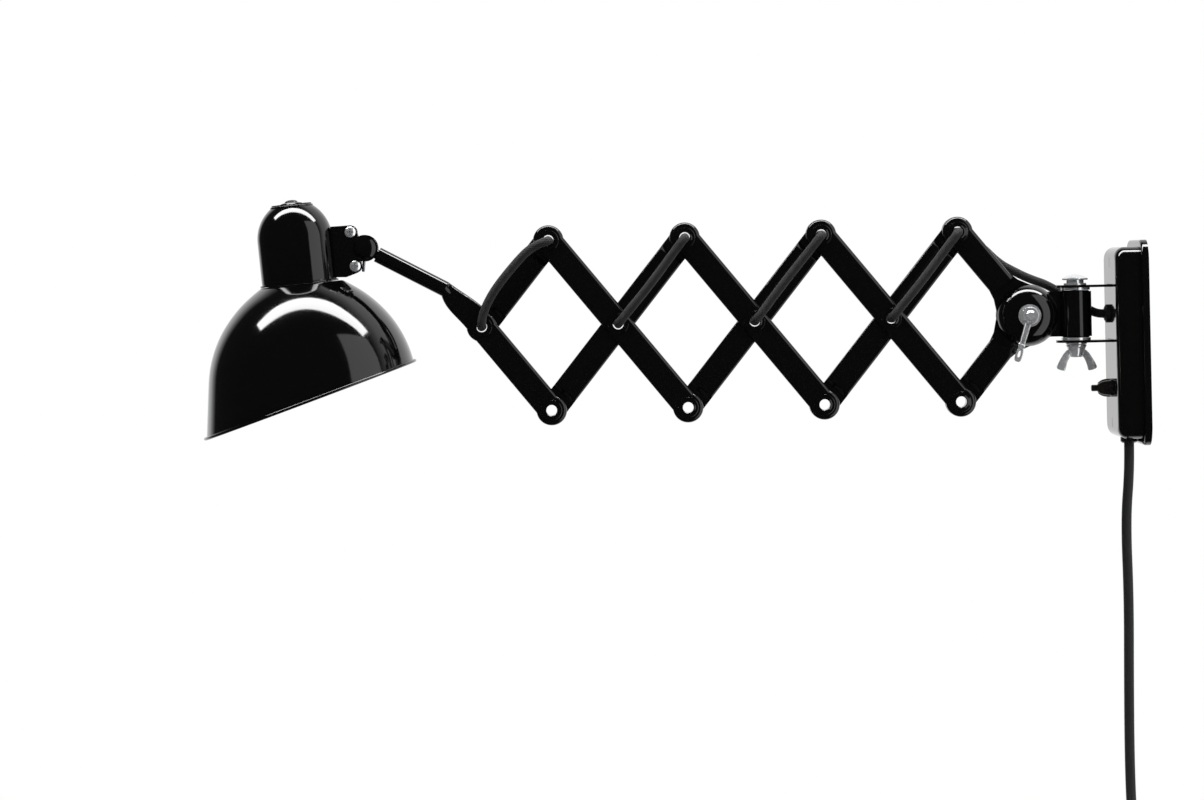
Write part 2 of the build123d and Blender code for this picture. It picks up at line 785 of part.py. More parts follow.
def across_plane(origin, direction):
    """A plane square to the arm, with its x towards the upper edge and its y towards the viewer."""
    return Plane(origin=origin, x_dir=direction.cross(Vector(0, -1, 0)), z_dir=direction)


with BuildPart() as shade_arm:
    add(near_shell(half_link, arm_low, arm_pivot))
    with BuildSketch(across_plane(Vector(arm_pivot.X, flat_end_y, arm_pivot.Z), link_dir)):
        RectangleRounded(link_width, link_height, 2.0)
    with BuildSketch(across_plane(Vector(flat_end.X, flat_end_y, flat_end.Z), link_dir)):
        RectangleRounded(link_width - 0.4, link_height, 2.2)
    with BuildSketch(across_plane(bend_mid, bend_dir)):
        RectangleRounded(18.0, 8.0, 3.4)
    with BuildSketch(across_plane(crease + tube_dir * 3, tube_dir)):
        Circle(tube_radius)
    loft()
    with BuildSketch(across_plane(crease + tube_dir * 3, tube_dir)):
        Circle(tube_radius)
    extrude(amount=(tube_end - crease).length - 3)
    with BuildSketch(across_plane(tube_end, tube_dir)):
        Circle(tube_bore)
    extrude(amount=-(tube_end - flex_entry).length - 12, mode=Mode.SUBTRACT)
    with BuildSketch(Plane(origin=flex_entry, z_dir=flex_run_in - flex_entry)):
        Circle(flex_radius + 1.0)
    extrude(amount=26, mode=Mode.SUBTRACT)
    with BuildSketch(front_plane(arm_pivot, arm_low, near_back_y)):
        with Locations((2.5, 0)):
            Rectangle(22, link_width - 2 * link_sheet - 1)
    extrude(amount=link_height - link_sheet, mode=Mode.SUBTRACT)
    pierce(arm_low, turning_hole)
    pierce(arm_pivot, turning_hole)
shade_arm.part.label = "shade_arm"
export_step(shade_arm.part, "parts/shade_arm.step")

# Eyelets: a tube through both layers with rolled collars and a spacer between the links
spacer_front_y = -(layer_gap + link_height - link_sheet) + 0.2
collar_back_y = -(layer_gap + link_height) - 0.3
web_at_end = layer_gap + end_drop
web_at_middle = layer_gap
eyelet_sets = [((low_pivot(1), web_at_end),)]
for index in range(1, bays):
    eyelet_sets.append(
        (
            (top_pivot(index), web_at_end),
            (centre_pivot(index), web_at_middle),
            (low_pivot(index + 1), web_at_end),
        )
    )
eyelet_sets.append(((top_pivot(bays), web_at_end), (centre_pivot(bays), web_at_end)))

for set_index, pivots in enumerate(eyelet_sets):
    with BuildPart() as eyelets:
        for pivot, web_y in pivots:
            with BuildSketch(Plane(origin=(pivot.X, 0, pivot.Z), x_dir=(1, 0, 0), z_dir=(0, 0, 1))):
                with BuildLine():
                    Polyline(
                        (eyelet_bore, eyelet_front_y + 0.4),
                        (eyelet_bore + 0.4, eyelet_front_y),
                        (eyelet_radius + 0.2, eyelet_front_y),
                        (6.0, collar_back_y - 0.9),
                        (eyelet_collar - 0.4, collar_back_y - 0.5),
                        (eyelet_collar, collar_back_y),
                        (eyelet_radius, collar_back_y),
                        (eyelet_radius, spacer_front_y),
                        (eyelet_collar, spacer_front_y),
                        (eyelet_collar, web_y),
                        (eyelet_radius, web_y),
                        (eyelet_radius, web_y + link_sheet),
                        (eyelet_radius + 2.0, web_y + link_sheet),
                        (eyelet_radius + 1.6, web_y + link_sheet + 0.7),
                        (eyelet_bore, web_y + link_sheet + 0.7),
                        close=True,
                    )
                make_face()
            revolve(axis=Axis((pivot.X, 0, pivot.Z), (0, 1, 0)))
    eyelets.part.label = f"eyelets_{set_index}"
    export_step(eyelets.part, f"parts/eyelets_{set_index}.step")


def flex_tube(points, radii, radius=flex_radius):
    """A round flex along straight runs joined by arcs."""
    with BuildPart() as flex:
        with BuildLine():
            route = FilletPolyline(*points, radius=radii)
        with BuildSketch(Plane(origin=route @ 0, z_dir=route % 0)):
            Circle(radius)
        sweep()
    return flex.part


def at_depth(point, y):
    return Vector(point.X, y, point.Z)


# Front stretches of the flex, each from a top pivot down to the centre pivot of the same far link
for index in range(1, bays):
    first = top_pivot(index)
    last = centre_pivot(index)
    with BuildPart() as flex_front:
        add(
            flex_tube(
                (first, at_depth(first, flex_front_y), at_depth(last, flex_front_y), last),
                (flex_bend, flex_bend),
            )
        )
    flex_front.part.label = f"flex_front_{index}"
    export_step(flex_front.part, f"parts/flex_front_{index}.step")

# The last front stretch has slack and bows out to the upper left
with BuildPart() as flex_front_last:
    add(
        flex_tube(
            (
                top_pivot(bays),
                at_depth(top_pivot(bays), flex_front_y),
                hub_point(-402.0, 57.0, flex_front_y),
                hub_point(-427.0, 32.0, flex_front_y),
                at_depth(centre_pivot(bays), flex_front_y),
                centre_pivot(bays),
            ),
            (flex_bend, 28.0, 34.0, flex_bend),
        )
    )
flex_front_last.part.label = f"flex_front_{bays}"
export_step(flex_front_last.part, f"parts/flex_front_{bays}.step")

# Back stretches, each from a centre pivot up to the top pivot at the end of the same near link
for index in range(1, bays):
    first = centre_pivot(index)
    last = top_pivot(index + 1)
    with BuildPart() as flex_back:
        add(
            flex_tube(
                (first, at_depth(first, flex_back_y), at_depth(last, flex_back_y), last),
                (flex_bend, flex_bend),
            )
        )
    flex_back.part.label = f"flex_back_{index}"
    export_step(flex_back.part, f"parts/flex_back_{index}.step")

# From the wall plate the flex goes behind the barrel and over the hub to the first top pivot
flex_start = Vector(cover_face_x - grommet_length, grommet_y, hub_z)
barrel_corner = Vector(-46.5, 19.2, 31.0)
hub_corner = Vector(-75.0, 17.5, 47.3)
arm_corner = Vector(-113.0, 14.6, 66.6)
behind_barrel = between(barrel_corner, hub_corner, 0.23)
over_hub = between(hub_corner, arm_corner, 0.45)

with BuildPart() as flex_wall:
    add(
        flex_tube(
            (flex_start, Vector(-37.0, grommet_y, hub_z), barrel_corner, behind_barrel),
            (9.0, 9.0),
        )
    )
flex_wall.part.label = "flex_wall_to_swivel"
export_step(flex_wall.part, "parts/flex_wall_to_swivel.step")

with BuildPart() as flex_swivel:
    add(flex_tube((behind_barrel, hub_corner, over_hub), (40.0,)))
flex_swivel.part.label = "flex_swivel_to_hub"
export_step(flex_swivel.part, "parts/flex_swivel_to_hub.step")

with BuildPart() as flex_hub:
    add(
        flex_tube(
            (over_hub, arm_corner, at_depth(top_pivot(1), flex_back_y), top_pivot(1)),
            (40.0, flex_bend),
        )
    )
flex_hub.part.label = "flex_hub_to_arm"
export_step(flex_hub.part, "parts/flex_hub_to_arm.step")

# The last stretch goes behind the shade arm and into its tube from the back
flex_tail_points = (
    centre_pivot(bays),
    at_depth(centre_pivot(bays), 12.0),
    hub_point(-459.0, 24.0, 12.0),
    flex_run_in,
    flex_entry,
)

with BuildPart() as flex_tail:
    add(flex_tube(flex_tail_points, (flex_bend, 24.0, 20.0)))
flex_tail.part.label = "flex_to_shade_arm"
export_step(flex_tail.part, "parts/flex_to_shade_arm.step")

# Ball stem: a shaft that turns in the arm's tube, a neck and the ball
stem_plane = Plane(origin=ball_centre, x_dir=-tube_dir, z_dir=(0, -1, 0))
shaft_start = tube_reach + 0.4
shaft_length = 18.0
neck_radius = 4.0
neck_start = sqrt(ball_radius**2 - neck_radius**2)

with BuildPart() as ball_stem:
    with BuildSketch(stem_plane):
        with BuildLine():
            ball_arc = ThreePointArc((-ball_radius, 0), (0, ball_radius), (neck_start, neck_radius))
            Polyline(
                ball_arc @ 1,
                (shaft_start, neck_radius),
                (shaft_start, tube_bore - running_gap),
                (shaft_start + shaft_length, tube_bore - running_gap),
                (shaft_start + shaft_length, 0),
                ball_arc @ 0,
            )
        make_face()
    revolve(axis=Axis(ball_centre, -tube_dir))
ball_stem.part.label = "ball_stem"
export_step(ball_stem.part, "parts/ball_stem.step")

# Frame of the head: r is to the right of the cap's axis and h is above the collar
head_origin = hub_point(collar_from_hub[0], collar_from_hub[1], arm_y)
head_right = Vector(cos(radians(head_tilt_deg)), 0, sin(radians(head_tilt_deg)))
head_up = Vector(-sin(radians(head_tilt_deg)), 0, cos(radians(head_tilt_deg)))
head_plane = Plane(origin=head_origin, x_dir=head_right, z_dir=(0, -1, 0))
head_axis = Axis(head_origin, head_up)
ball_from_collar = ball_centre - head_origin
ball_r = ball_from_collar.dot(head_right)
ball_h = ball_from_collar.dot(head_up)


def head_point(r, h, y=arm_y):
    point = head_origin + head_right * r + head_up * h
    return Vector(point.X, y, point.Z)


# Cap over the lampholder, with a small lip at its foot
with BuildPart() as head_cap:
    with BuildSketch(head_plane):
        with BuildLine():
            l1 = Polyline((0, 0), (31.4, 0), (31.4, 1.2), (cap_radius, 1.8), (cap_radius, 36.0))
            l2 = ThreePointArc(l1 @ 1, (26.7, 50.2), (17.6, cap_height))
            Polyline(l2 @ 1, (0, cap_height), (0, 0))
        make_face()
    revolve(axis=head_axis)
    with BuildSketch(head_plane):
        with BuildLine():
            l1 = Polyline((0, -1), (cap_radius - cap_sheet, -1), (cap_radius - cap_sheet, 36.0))
            l2 = ThreePointArc(l1 @ 1, (25.6, 49.5), (17.0, cap_height - cap_sheet))
            Polyline(l2 @ 1, (0, cap_height - cap_sheet), (0, -1))
        make_face()
    revolve(axis=head_axis, mode=Mode.SUBTRACT)
    with BuildSketch(Plane(origin=head_point(0, cap_height + 2), x_dir=head_right, z_dir=head_up)):
        Circle(5.0)
    extrude(amount=-6, mode=Mode.SUBTRACT)
head_cap.part.label = "head_cap"
export_step(head_cap.part, "parts/head_cap.step")

# Ribbed disc and button on top of the cap
with BuildPart() as cap_disc:
    with BuildSketch(head_plane):
        with BuildLine():
            l1 = Polyline(
                (0, cap_height - 3),
                (4.96, cap_height - 3),
                (4.96, cap_height),
                (17.2, cap_height),
                (17.2, cap_height + 1.4),
                (15.6, cap_height + 2.6),
                (8.8, cap_height + 4.0),
                (5.0, cap_height + 4.4),
            )
            crown_r, crown_rise = crown_via(5.0, 1.6)
            l2 = ThreePointArc(l1 @ 1, (crown_r, cap_height + 4.4 + crown_rise), (0, cap_height + 6.0))
            Line(l2 @ 1, l1 @ 0)
        make_face()
    revolve(axis=head_axis)
    with BuildSketch(Plane(origin=head_point(0, cap_height + 2.4), x_dir=head_right, z_dir=head_up)):
        with PolarLocations(11.6, 24):
            Rectangle(4.4, 1.3)
    extrude(amount=5, mode=Mode.SUBTRACT)
cap_disc.part.label = "cap_disc"
export_step(cap_disc.part, "parts/cap_disc.step")

# Two plates that hold the ball, bent to a saddle on the cap
plate_gap_half = 4.3
joint_sheet = 1.5
screw_places = ((44.9, 37.1), (46.0, 9.6))
clamp_screw_radius = 2.0
joint_disc_radius = 10.6
ball_socket_gap = 0.1
front_plate_y = arm_y - plate_gap_half

with BuildPart() as joint_plates:
    for plate_y in (front_plate_y, arm_y + plate_gap_half + joint_sheet):
        with BuildSketch(Plane(origin=head_point(0, 0, plate_y), x_dir=head_right, z_dir=(0, -1, 0))):
            with BuildLine():
                Polyline(
                    (cap_radius - 1, 43.0),
                    (46.0, 42.4),
                    (49.6, 38.0),
                    (51.0, 31.0),
                    (51.0, 14.0),
                    (50.6, 7.5),
                    (47.0, 4.2),
                    (37.5, 1.6),
                    (cap_radius - 1, 2.4),
                    close=True,
                )
            make_face()
            with Locations((ball_r, ball_h)):
                Circle(joint_disc_radius)
            with Locations(*screw_places):
                Circle(5.2)
        extrude(amount=joint_sheet)
    for side in (1, -1):
        with BuildSketch(Plane(origin=ball_centre, x_dir=(1, 0, 0), z_dir=(0, 0, 1))):
            with BuildLine():
                l1 = Polyline((0, side * plate_gap_half), (9.0, side * plate_gap_half), (9.0, side * 5.9))
                crown_r, crown_rise = crown_via(9.0, 3.1)
                l2 = ThreePointArc(l1 @ 1, (crown_r, side * (5.9 + crown_rise)), (0, side * 9.0))
                Line(l2 @ 1, l1 @ 0)
            make_face()
        revolve(axis=Axis(ball_centre, (0, 1, 0)))
    with Locations(Location(ball_centre)):
        Sphere(ball_radius + ball_socket_gap, mode=Mode.SUBTRACT)
    with BuildSketch(Plane(origin=head_origin, x_dir=head_right, z_dir=(0, -1, 0))):
        with Locations((ball_r, ball_h)):
            Rectangle(40, 60)
    extrude(amount=plate_gap_half, both=True, mode=Mode.SUBTRACT)
    with BuildSketch(head_plane):
        with Locations((cap_radius + 1.6, 22.6)):
            Rectangle(6.0, 39.0)
    extrude(amount=plate_gap_half, both=True)
    with BuildSketch(Plane(origin=head_point(0, -2), x_dir=head_right, z_dir=head_up)):
        Circle(cap_radius + 0.03)
    extrude(amount=60, mode=Mode.SUBTRACT)
    for screw_r, screw_h in screw_places:
        with BuildSketch(Plane(origin=head_point(screw_r, screw_h, -20), x_dir=head_right, z_dir=(0, -1, 0))):
            Circle(clamp_screw_radius + 0.02)
        extrude(amount=-40, mode=Mode.SUBTRACT)
joint_plates.part.label = "joint_plates"
export_step(joint_plates.part, "parts/joint_plates.step")

# Two clamp screws with their nuts
clamp_head_radius = 4.3
clamp_head_crown = 1.7
screw_head_y = front_plate_y - joint_sheet
screw_crown_y = screw_head_y - 1.0
nut_face_y = arm_y + plate_gap_half + joint_sheet
screw_end_y = nut_face_y + 3.6

with BuildPart() as joint_screws:
    for screw_r, screw_h in screw_places:
        place = head_point(screw_r, screw_h, 0)
        with BuildSketch(Plane(origin=place, x_dir=(1, 0, 0), z_dir=(0, 0, 1))):
            with BuildLine():
                l1 = Polyline(
                    (0, screw_end_y),
                    (clamp_screw_radius, screw_end_y),
                    (clamp_screw_radius, screw_head_y),
                    (clamp_head_radius, screw_head_y),
                    (clamp_head_radius, screw_crown_y),
                )
                crown_r, crown_rise = crown_via(clamp_head_radius, clamp_head_crown)
                l2 = ThreePointArc(
                    l1 @ 1, (crown_r, screw_crown_y - crown_rise), (0, screw_crown_y - clamp_head_crown)
                )
                Line(l2 @ 1, l1 @ 0)
            make_face()
        revolve(axis=Axis(place, (0, 1, 0)))
        nut_place = head_point(screw_r, screw_h, nut_face_y)
        with BuildSketch(Plane(origin=nut_place, x_dir=(1, 0, 0), z_dir=(0, 1, 0))):
            RegularPolygon(4.0, 6)
        extrude(amount=2.6)
        slot_place = head_point(screw_r, screw_h, screw_head_y - 3)
        with BuildSketch(Plane(origin=slot_place, x_dir=(1, 0, 0), z_dir=(0, -1, 0))):
            Rectangle(5.2, 1.0)
            Rectangle(1.0, 5.2)
        extrude(amount=-1.8, mode=Mode.SUBTRACT)
joint_screws.part.label = "joint_screws"
export_step(joint_screws.part, "parts/joint_screws.step")

# Shade: a spun dome, cut by the slanting plane of its rim, with a small outward lip
shade_top_h = -0.3
shade_hole = 23.0
shade_axis = Axis(head_point(shade_offset, 0), head_up)
shade_plane = Plane(origin=head_point(shade_offset, 0), x_dir=head_right, z_dir=(0, -1, 0))
shade_curve = (
    (33.0, shade_top_h),
    (44.5, -8.0),
    (55.0, -17.0),
    (67.0, -31.0),
    (75.5, -46.5),
    (80.8, -62.0),
    (83.2, -78.0),
    (87.6, -110.0),
    (89.2, -122.0),
)
rim_across = Vector(rim_right[0] - rim_left[0], 0, rim_right[1] - rim_left[1])
rim_angle = degrees(atan2(rim_across.Z, rim_across.X))
rim_middle = head_point((rim_left[0] + rim_right[0]) / 2, (rim_left[1] + rim_right[1]) / 2)
rim_right_dir = head_right.rotate(Axis.Y, -rim_angle)
rim_up = head_up.rotate(Axis.Y, -rim_angle)
rim_plane = Plane(origin=rim_middle, x_dir=rim_right_dir, z_dir=rim_up)
lip_width = 2.4
lip_thick = 1.6


def dome_face(shrink):
    """The half section of the dome, drawn in by the sheet's thickness for the inside."""
    top = shade_top_h - shrink
    points = [(r - shrink * 0.9, h - shrink * 0.5) for r, h in shade_curve]
    points[0] = (shade_curve[0][0], top)
    curve = Spline(*points, tangents=((1, -0.35), (0.13, -1)))
    foot = (0, points[-1][1])
    Polyline(curve @ 1, foot, (0, top), curve @ 0)


with BuildPart() as lip_disc:
    with BuildSketch(shade_plane):
        with BuildLine():
            dome_face(-lip_width)
        make_face()
    revolve(axis=shade_axis)
    split(bisect_by=rim_plane.offset(lip_thick), keep=Keep.BOTTOM)
    split(bisect_by=rim_plane, keep=Keep.TOP)

with BuildPart() as shade:
    with BuildSketch(shade_plane):
        with BuildLine():
            dome_face(0)
        make_face()
    revolve(axis=shade_axis)
    split(bisect_by=rim_plane.offset(lip_thick), keep=Keep.TOP)
    add(lip_disc.part)
    with BuildSketch(shade_plane):
        with BuildLine():
            dome_face(shade_sheet)
        make_face()
    revolve(axis=shade_axis, mode=Mode.SUBTRACT)
    with BuildSketch(Plane(origin=head_point(0, 5), x_dir=head_right, z_dir=head_up)):
        Circle(shade_hole)
    extrude(amount=-12, mode=Mode.SUBTRACT)
shade.part.label = "shade"
export_step(shade.part, "parts/shade.step")

# Lampholder under the cap, clamped in the top of the shade by its skirt
holder_radius = 19.0
holder_skirt = 26.0
holder_low_h = shade_top_h - shade_sheet - 6.0
holder_top_h = 44.0
socket_radius = 13.6

with BuildPart() as lampholder:
    with BuildSketch(head_plane):
        with BuildLine():
            Polyline(
                (0, holder_top_h),
                (12.0, holder_top_h),
                (holder_radius, holder_top_h - 8),
                (holder_radius, shade_top_h + 2),
                (holder_skirt, shade_top_h + 2),
                (holder_skirt, shade_top_h),
                (holder_radius, shade_top_h),
                (holder_radius, shade_top_h - shade_sheet),
                (holder_skirt, shade_top_h - shade_sheet),
                (holder_skirt - 1.4, shade_top_h - shade_sheet - 4),
                (holder_radius, shade_top_h - shade_sheet - 4),
                (holder_radius, holder_low_h),
                (socket_radius, holder_low_h),
                (socket_radius, holder_low_h + 28),
                (0, holder_low_h + 28),
                close=True,
            )
        make_face()
    revolve(axis=head_axis)
lampholder.part.label = "lampholder"
export_step(lampholder.part, "parts/lampholder.step")

# Bulb: a threaded cap in the socket and a round glass below it
bulb_cap_top_h = holder_low_h + 26.0
bulb_neck_h = holder_low_h - 1.0
bulb_globe_radius = 28.0
bulb_globe_h = -50.0

with BuildPart() as bulb_cap:
    with BuildSketch(head_plane):
        with BuildLine():
            Polyline(
                (0, bulb_cap_top_h),
                (4.0, bulb_cap_top_h),
                (12.6, bulb_cap_top_h - 4),
                (13.0, bulb_cap_top_h - 6),
                (13.0, bulb_neck_h),
                (0, bulb_neck_h),
                close=True,
            )
        make_face()
    revolve(axis=head_axis)
bulb_cap.part.label = "bulb_cap"
export_step(bulb_cap.part, "parts/bulb_cap.step")

with BuildPart() as bulb_glass:
    with BuildSketch(head_plane):
        with BuildLine():
            l1 = Polyline((0, bulb_neck_h), (12.8, bulb_neck_h), (13.2, bulb_neck_h - 5))
            neck_and_globe = (l1 @ 1, (19.5, -29.0), (bulb_globe_radius, bulb_globe_h))
            l2 = Spline(*neck_and_globe, tangents=((0.05, -1), (0, -1)))
            l3 = ThreePointArc(
                l2 @ 1,
                (bulb_globe_radius * cos(pi / 4), bulb_globe_h - bulb_globe_radius * sin(pi / 4)),
                (0, bulb_globe_h - bulb_globe_radius),
            )
            Line(l3 @ 1, l1 @ 0)
        make_face()
    revolve(axis=head_axis)
bulb_glass.part.label = "bulb_glass"
export_step(bulb_glass.part, "parts/bulb_glass.step")

# Mains lead: it hangs from the gland along the wall, and the rest is wound up below
coil_x = -17.2
coil_z = -482.0
coil_outer_radius = coil_mid_radius + coil_pitch * coil_turns / 4
lead_points = [
    (gland_x, 0, gland_low_z),
    (gland_x, 0, -102.0),
    (-16.4, 0.5, -142.0),
    (-15.2, 0, -204.0),
    (-16.6, -0.8, -268.0),
    (-17.3, 0, -330.0),
    (-17.0, -2.5, -376.0),
    (-17.1, -23.0, -409.0),
    (-17.2, -45.0, -432.0),
    (coil_x, -coil_outer_radius, -458.0),
    (coil_x, -coil_outer_radius, coil_z),
]


def corner_radii(points):
    """For each corner, 0.45 of the shorter run over the tangent of half the turn."""
    places = [Vector(*point) for point in points]
    radii = []
    for before, corner, after in zip(places, places[1:], places[2:]):
        run_in = corner - before
        run_out = after - corner
        half_turn = radians(run_in.get_angle(run_out)) / 2
        radii.append(0.45 * min(run_in.length, run_out.length) / tan(half_turn))
    return radii


lead_radii = corner_radii(lead_points)
lead_runs = [(Vector(*after) - Vector(*before)).length for before, after in zip(lead_points, lead_points[1:])]
print("mains lead runs", [round(run) for run in lead_runs])
print("mains lead radii", [round(radius, 1) for radius in lead_radii])

with BuildPart() as mains_cord:
    with BuildLine():
        lead_route = FilletPolyline(*lead_points, radius=lead_radii)
    with BuildSketch(Plane(origin=lead_route @ 0, z_dir=lead_route % 0)):
        Circle(lead_radius)
    sweep()
mains_cord.part.label = "mains_cord"
export_step(mains_cord.part, "parts/mains_cord.step")
lead_length = lead_route.length
lead_section = pi * lead_radius**2
print("mains lead volume over section times length", mains_cord.part.volume / (lead_section * lead_length))

# Coil: it spirals in, climbs to the layer by the wall in the half turn where it reverses, and spirals out
climb_turns = 0.5
steps_per_turn = 4
tail_length = 34.0


def coil_radius(turn):
    return coil_outer_radius - coil_pitch * min(turn, coil_turns - turn)


def coil_depth(turn):
    """Where the coil lies across its thickness, with a smooth climb at half way."""
    share = (turn - (coil_turns - climb_turns) / 2) / climb_turns
    share = min(1.0, max(0.0, share))
    return coil_x + coil_pitch * (1 - cos(pi * share)) / 2


def coil_place(turn):
    angle = pi + 2 * pi * turn
    radius = coil_radius(turn)
    return Vector(coil_depth(turn), radius * cos(angle), coil_z + radius * sin(angle))


def coil_heading(turn):
    step = 0.002
    if turn < step or turn > coil_turns - step:
        return Vector(0, 0, -1)
    return (coil_place(turn + step) - coil_place(turn - step)).normalized()


def biarc_middle(start, start_dir, end, end_dir):
    """The point where two arcs meet that leave one place and reach another along given directions."""
    span = end - start
    a = 2 * (start_dir.dot(end_dir) - 1)
    b = -2 * span.dot(start_dir + end_dir)
    reach = (-b - sqrt(b * b - 4 * a * span.dot(span))) / (2 * a)
    return (start + end + (start_dir - end_dir) * reach) / 2


coil_stops = [step / steps_per_turn for step in range(coil_turns * steps_per_turn + 1)]

with BuildPart() as mains_coil:
    with BuildLine() as coil_line:
        for turn_in, turn_out in zip(coil_stops, coil_stops[1:]):
            start, end = coil_place(turn_in), coil_place(turn_out)
            heading, leaving = coil_heading(turn_in), coil_heading(turn_out)
            middle = biarc_middle(start, heading, end, leaving)
            first_arc = TangentArc(start, middle, tangent=heading)
            second_arc = TangentArc(middle, end, tangent=first_arc % 1)
        Line(second_arc @ 1, (second_arc @ 1) + Vector(0, 0, -tail_length))
    with BuildSketch(Plane(origin=coil_place(0), z_dir=coil_heading(0))):
        Circle(lead_radius)
    sweep()
mains_coil.part.label = "mains_coil"
export_step(mains_coil.part, "parts/mains_coil.step")
coil_length = sum(edge.length for edge in coil_line.line.edges())
print("coil volume over section times length", mains_coil.part.volume / (lead_section * coil_length))

samples_per_turn = 48
coil_samples = [coil_place(step / samples_per_turn) for step in range(samples_per_turn * coil_turns + 1)]
least_gap = min(
    (near - far).length - 2 * lead_radius
    for step, near in enumerate(coil_samples)
    for far in coil_samples[step + samples_per_turn // 2 :]
)
print("coil least gap to itself", round(least_gap, 2))
print("mains lead length, hanging part, coil and all", round(lead_length), round(coil_length))

# Tie round all the turns at the top of the coil
tie_gap = 0.6
tie_sheet = 1.4
tie_width = 9.0
bundle_inner = coil_outer_radius - coil_pitch * coil_turns / 2 - lead_radius - tie_gap
bundle_outer = coil_outer_radius + lead_radius + tie_gap
bundle_depth = coil_pitch + 2 * lead_radius + 2 * tie_gap

with BuildPart() as cord_tie:
    with BuildSketch(Plane.XZ.offset(-tie_width / 2)):
        with Locations((coil_x + coil_pitch / 2, coil_z + (bundle_inner + bundle_outer) / 2)):
            RectangleRounded(bundle_depth + 2 * tie_sheet, bundle_outer - bundle_inner + 2 * tie_sheet, 3.0)
            RectangleRounded(bundle_depth, bundle_outer - bundle_inner, 1.6, mode=Mode.SUBTRACT)
    extrude(amount=tie_width)
cord_tie.part.label = "cord_tie"
export_step(cord_tie.part, "parts/cord_tie.step")

# Flat two-pin plug at the end of the tail
tail_x = coil_x + coil_pitch
plug_top = Vector(tail_x, -coil_outer_radius, coil_z - tail_length)
plug_relief = 14.0
plug_shoulder = 12.0
plug_length = 34.0
plug_width = 34.0
plug_thick = 13.6
pin_spacing = 19.0
pin_radius = 2.0
pin_length = 19.0



def plug_plane(below):
    """A plane across the plug that faces down, at a distance below its top."""
    return Plane(origin=plug_top - Vector(0, 0, below), x_dir=(0, 1, 0), z_dir=(0, 0, -1))


with BuildPart() as plug_body:
    with BuildSketch(plug_plane(0)):
        Circle(5.0)
    with BuildSketch(plug_plane(plug_relief)):
        Circle(6.2)
    with BuildSketch(plug_plane(plug_relief + plug_shoulder)):
        RectangleRounded(plug_width, plug_thick, 4.5)
    loft(ruled=True)
    with BuildSketch(plug_plane(plug_relief + plug_shoulder)):
        RectangleRounded(plug_width, plug_thick, 4.5)
    extrude(amount=plug_length - plug_shoulder)
    fillet(plug_body.faces().sort_by(Axis.Z)[0].edges(), 1.2)
plug_body.part.label = "plug_body"
export_step(plug_body.part, "parts/plug_body.step")

with BuildPart() as plug_pins:
    with BuildSketch(plug_plane(plug_relief + plug_length)):
        with GridLocations(pin_spacing, 0, 2, 1):
            Circle(pin_radius)
    extrude(amount=pin_length)
    fillet(plug_pins.faces().group_by(Axis.Z)[0].edges(), 0.9)
plug_pins.part.label = "plug_pins"
export_step(plug_pins.part, "parts/plug_pins.step")
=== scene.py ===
# %% [markdown]
# # Adjustable wall lamp
# A scissor-arm wall lamp: a pressed steel wall plate, a swivel, a clamped hub, a lazy-tongs arm with a flex
# led through its hollow pivots, and an enamelled shade on a ball joint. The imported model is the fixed
# frame, and every piece here is placed from it, in metres, with +X into the wall and -Y towards the viewer.

# %% Load the frame
import json
from math import cos, pi, radians, sin

import bmesh
import bpy
from mathutils import Matrix, Vector


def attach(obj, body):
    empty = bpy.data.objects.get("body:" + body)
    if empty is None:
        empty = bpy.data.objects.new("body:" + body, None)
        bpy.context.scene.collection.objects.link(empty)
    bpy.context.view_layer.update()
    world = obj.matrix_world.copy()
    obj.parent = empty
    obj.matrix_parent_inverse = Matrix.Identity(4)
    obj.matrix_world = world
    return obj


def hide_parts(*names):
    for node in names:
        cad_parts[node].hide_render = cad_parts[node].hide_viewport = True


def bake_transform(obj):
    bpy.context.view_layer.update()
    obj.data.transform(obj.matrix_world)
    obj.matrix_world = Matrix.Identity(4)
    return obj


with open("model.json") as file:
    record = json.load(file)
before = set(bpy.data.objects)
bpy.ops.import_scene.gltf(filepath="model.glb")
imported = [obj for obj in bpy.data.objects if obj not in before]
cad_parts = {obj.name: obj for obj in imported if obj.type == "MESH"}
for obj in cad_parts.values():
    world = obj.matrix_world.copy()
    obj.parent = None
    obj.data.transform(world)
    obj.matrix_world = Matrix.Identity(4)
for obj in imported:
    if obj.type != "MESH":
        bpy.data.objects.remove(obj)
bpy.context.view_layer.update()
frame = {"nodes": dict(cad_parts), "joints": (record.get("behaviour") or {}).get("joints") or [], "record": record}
cad_nodes = frame["nodes"]
scene = bpy.context.scene
MM = 0.001

# %% [markdown]
# ## Places that the whole lamp is measured from
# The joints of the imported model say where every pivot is, so nothing is measured twice. The scissor's
# pivots are counted from the hub outwards, on the centre line and along the top.

# %% Pivots
joint_place = {joint["name"]: Vector(joint.get("pos_m", (0, 0, 0))) for joint in frame["joints"]}
hub = joint_place["arm_tilt"]
centre_1 = joint_place["near_1_turn"]
bay = centre_1 - hub
top_1 = joint_place["far_1_turn"]


def centre_pivot(index):
    return hub + bay * index


def top_pivot(index):
    return top_1 + bay * (index - 1)


def at_depth(point, depth):
    """The same place in the arm's plane, at another distance from the viewer."""
    return Vector((point.x, depth, point.z))


print("bay", bay.length, "top pivot", tuple(top_1))

# %% [markdown]
# ## Camera
# The photograph is taken from straight in front with a long lens, a little above the middle of the picture,
# and the picture leans by about a degree. A lens shift lowers the frame without tilting the view.

# %% Camera
camera_distance = 3.0
frame_width = 0.9632
sensor_width = 36.0
picture_lean = radians(1.2)

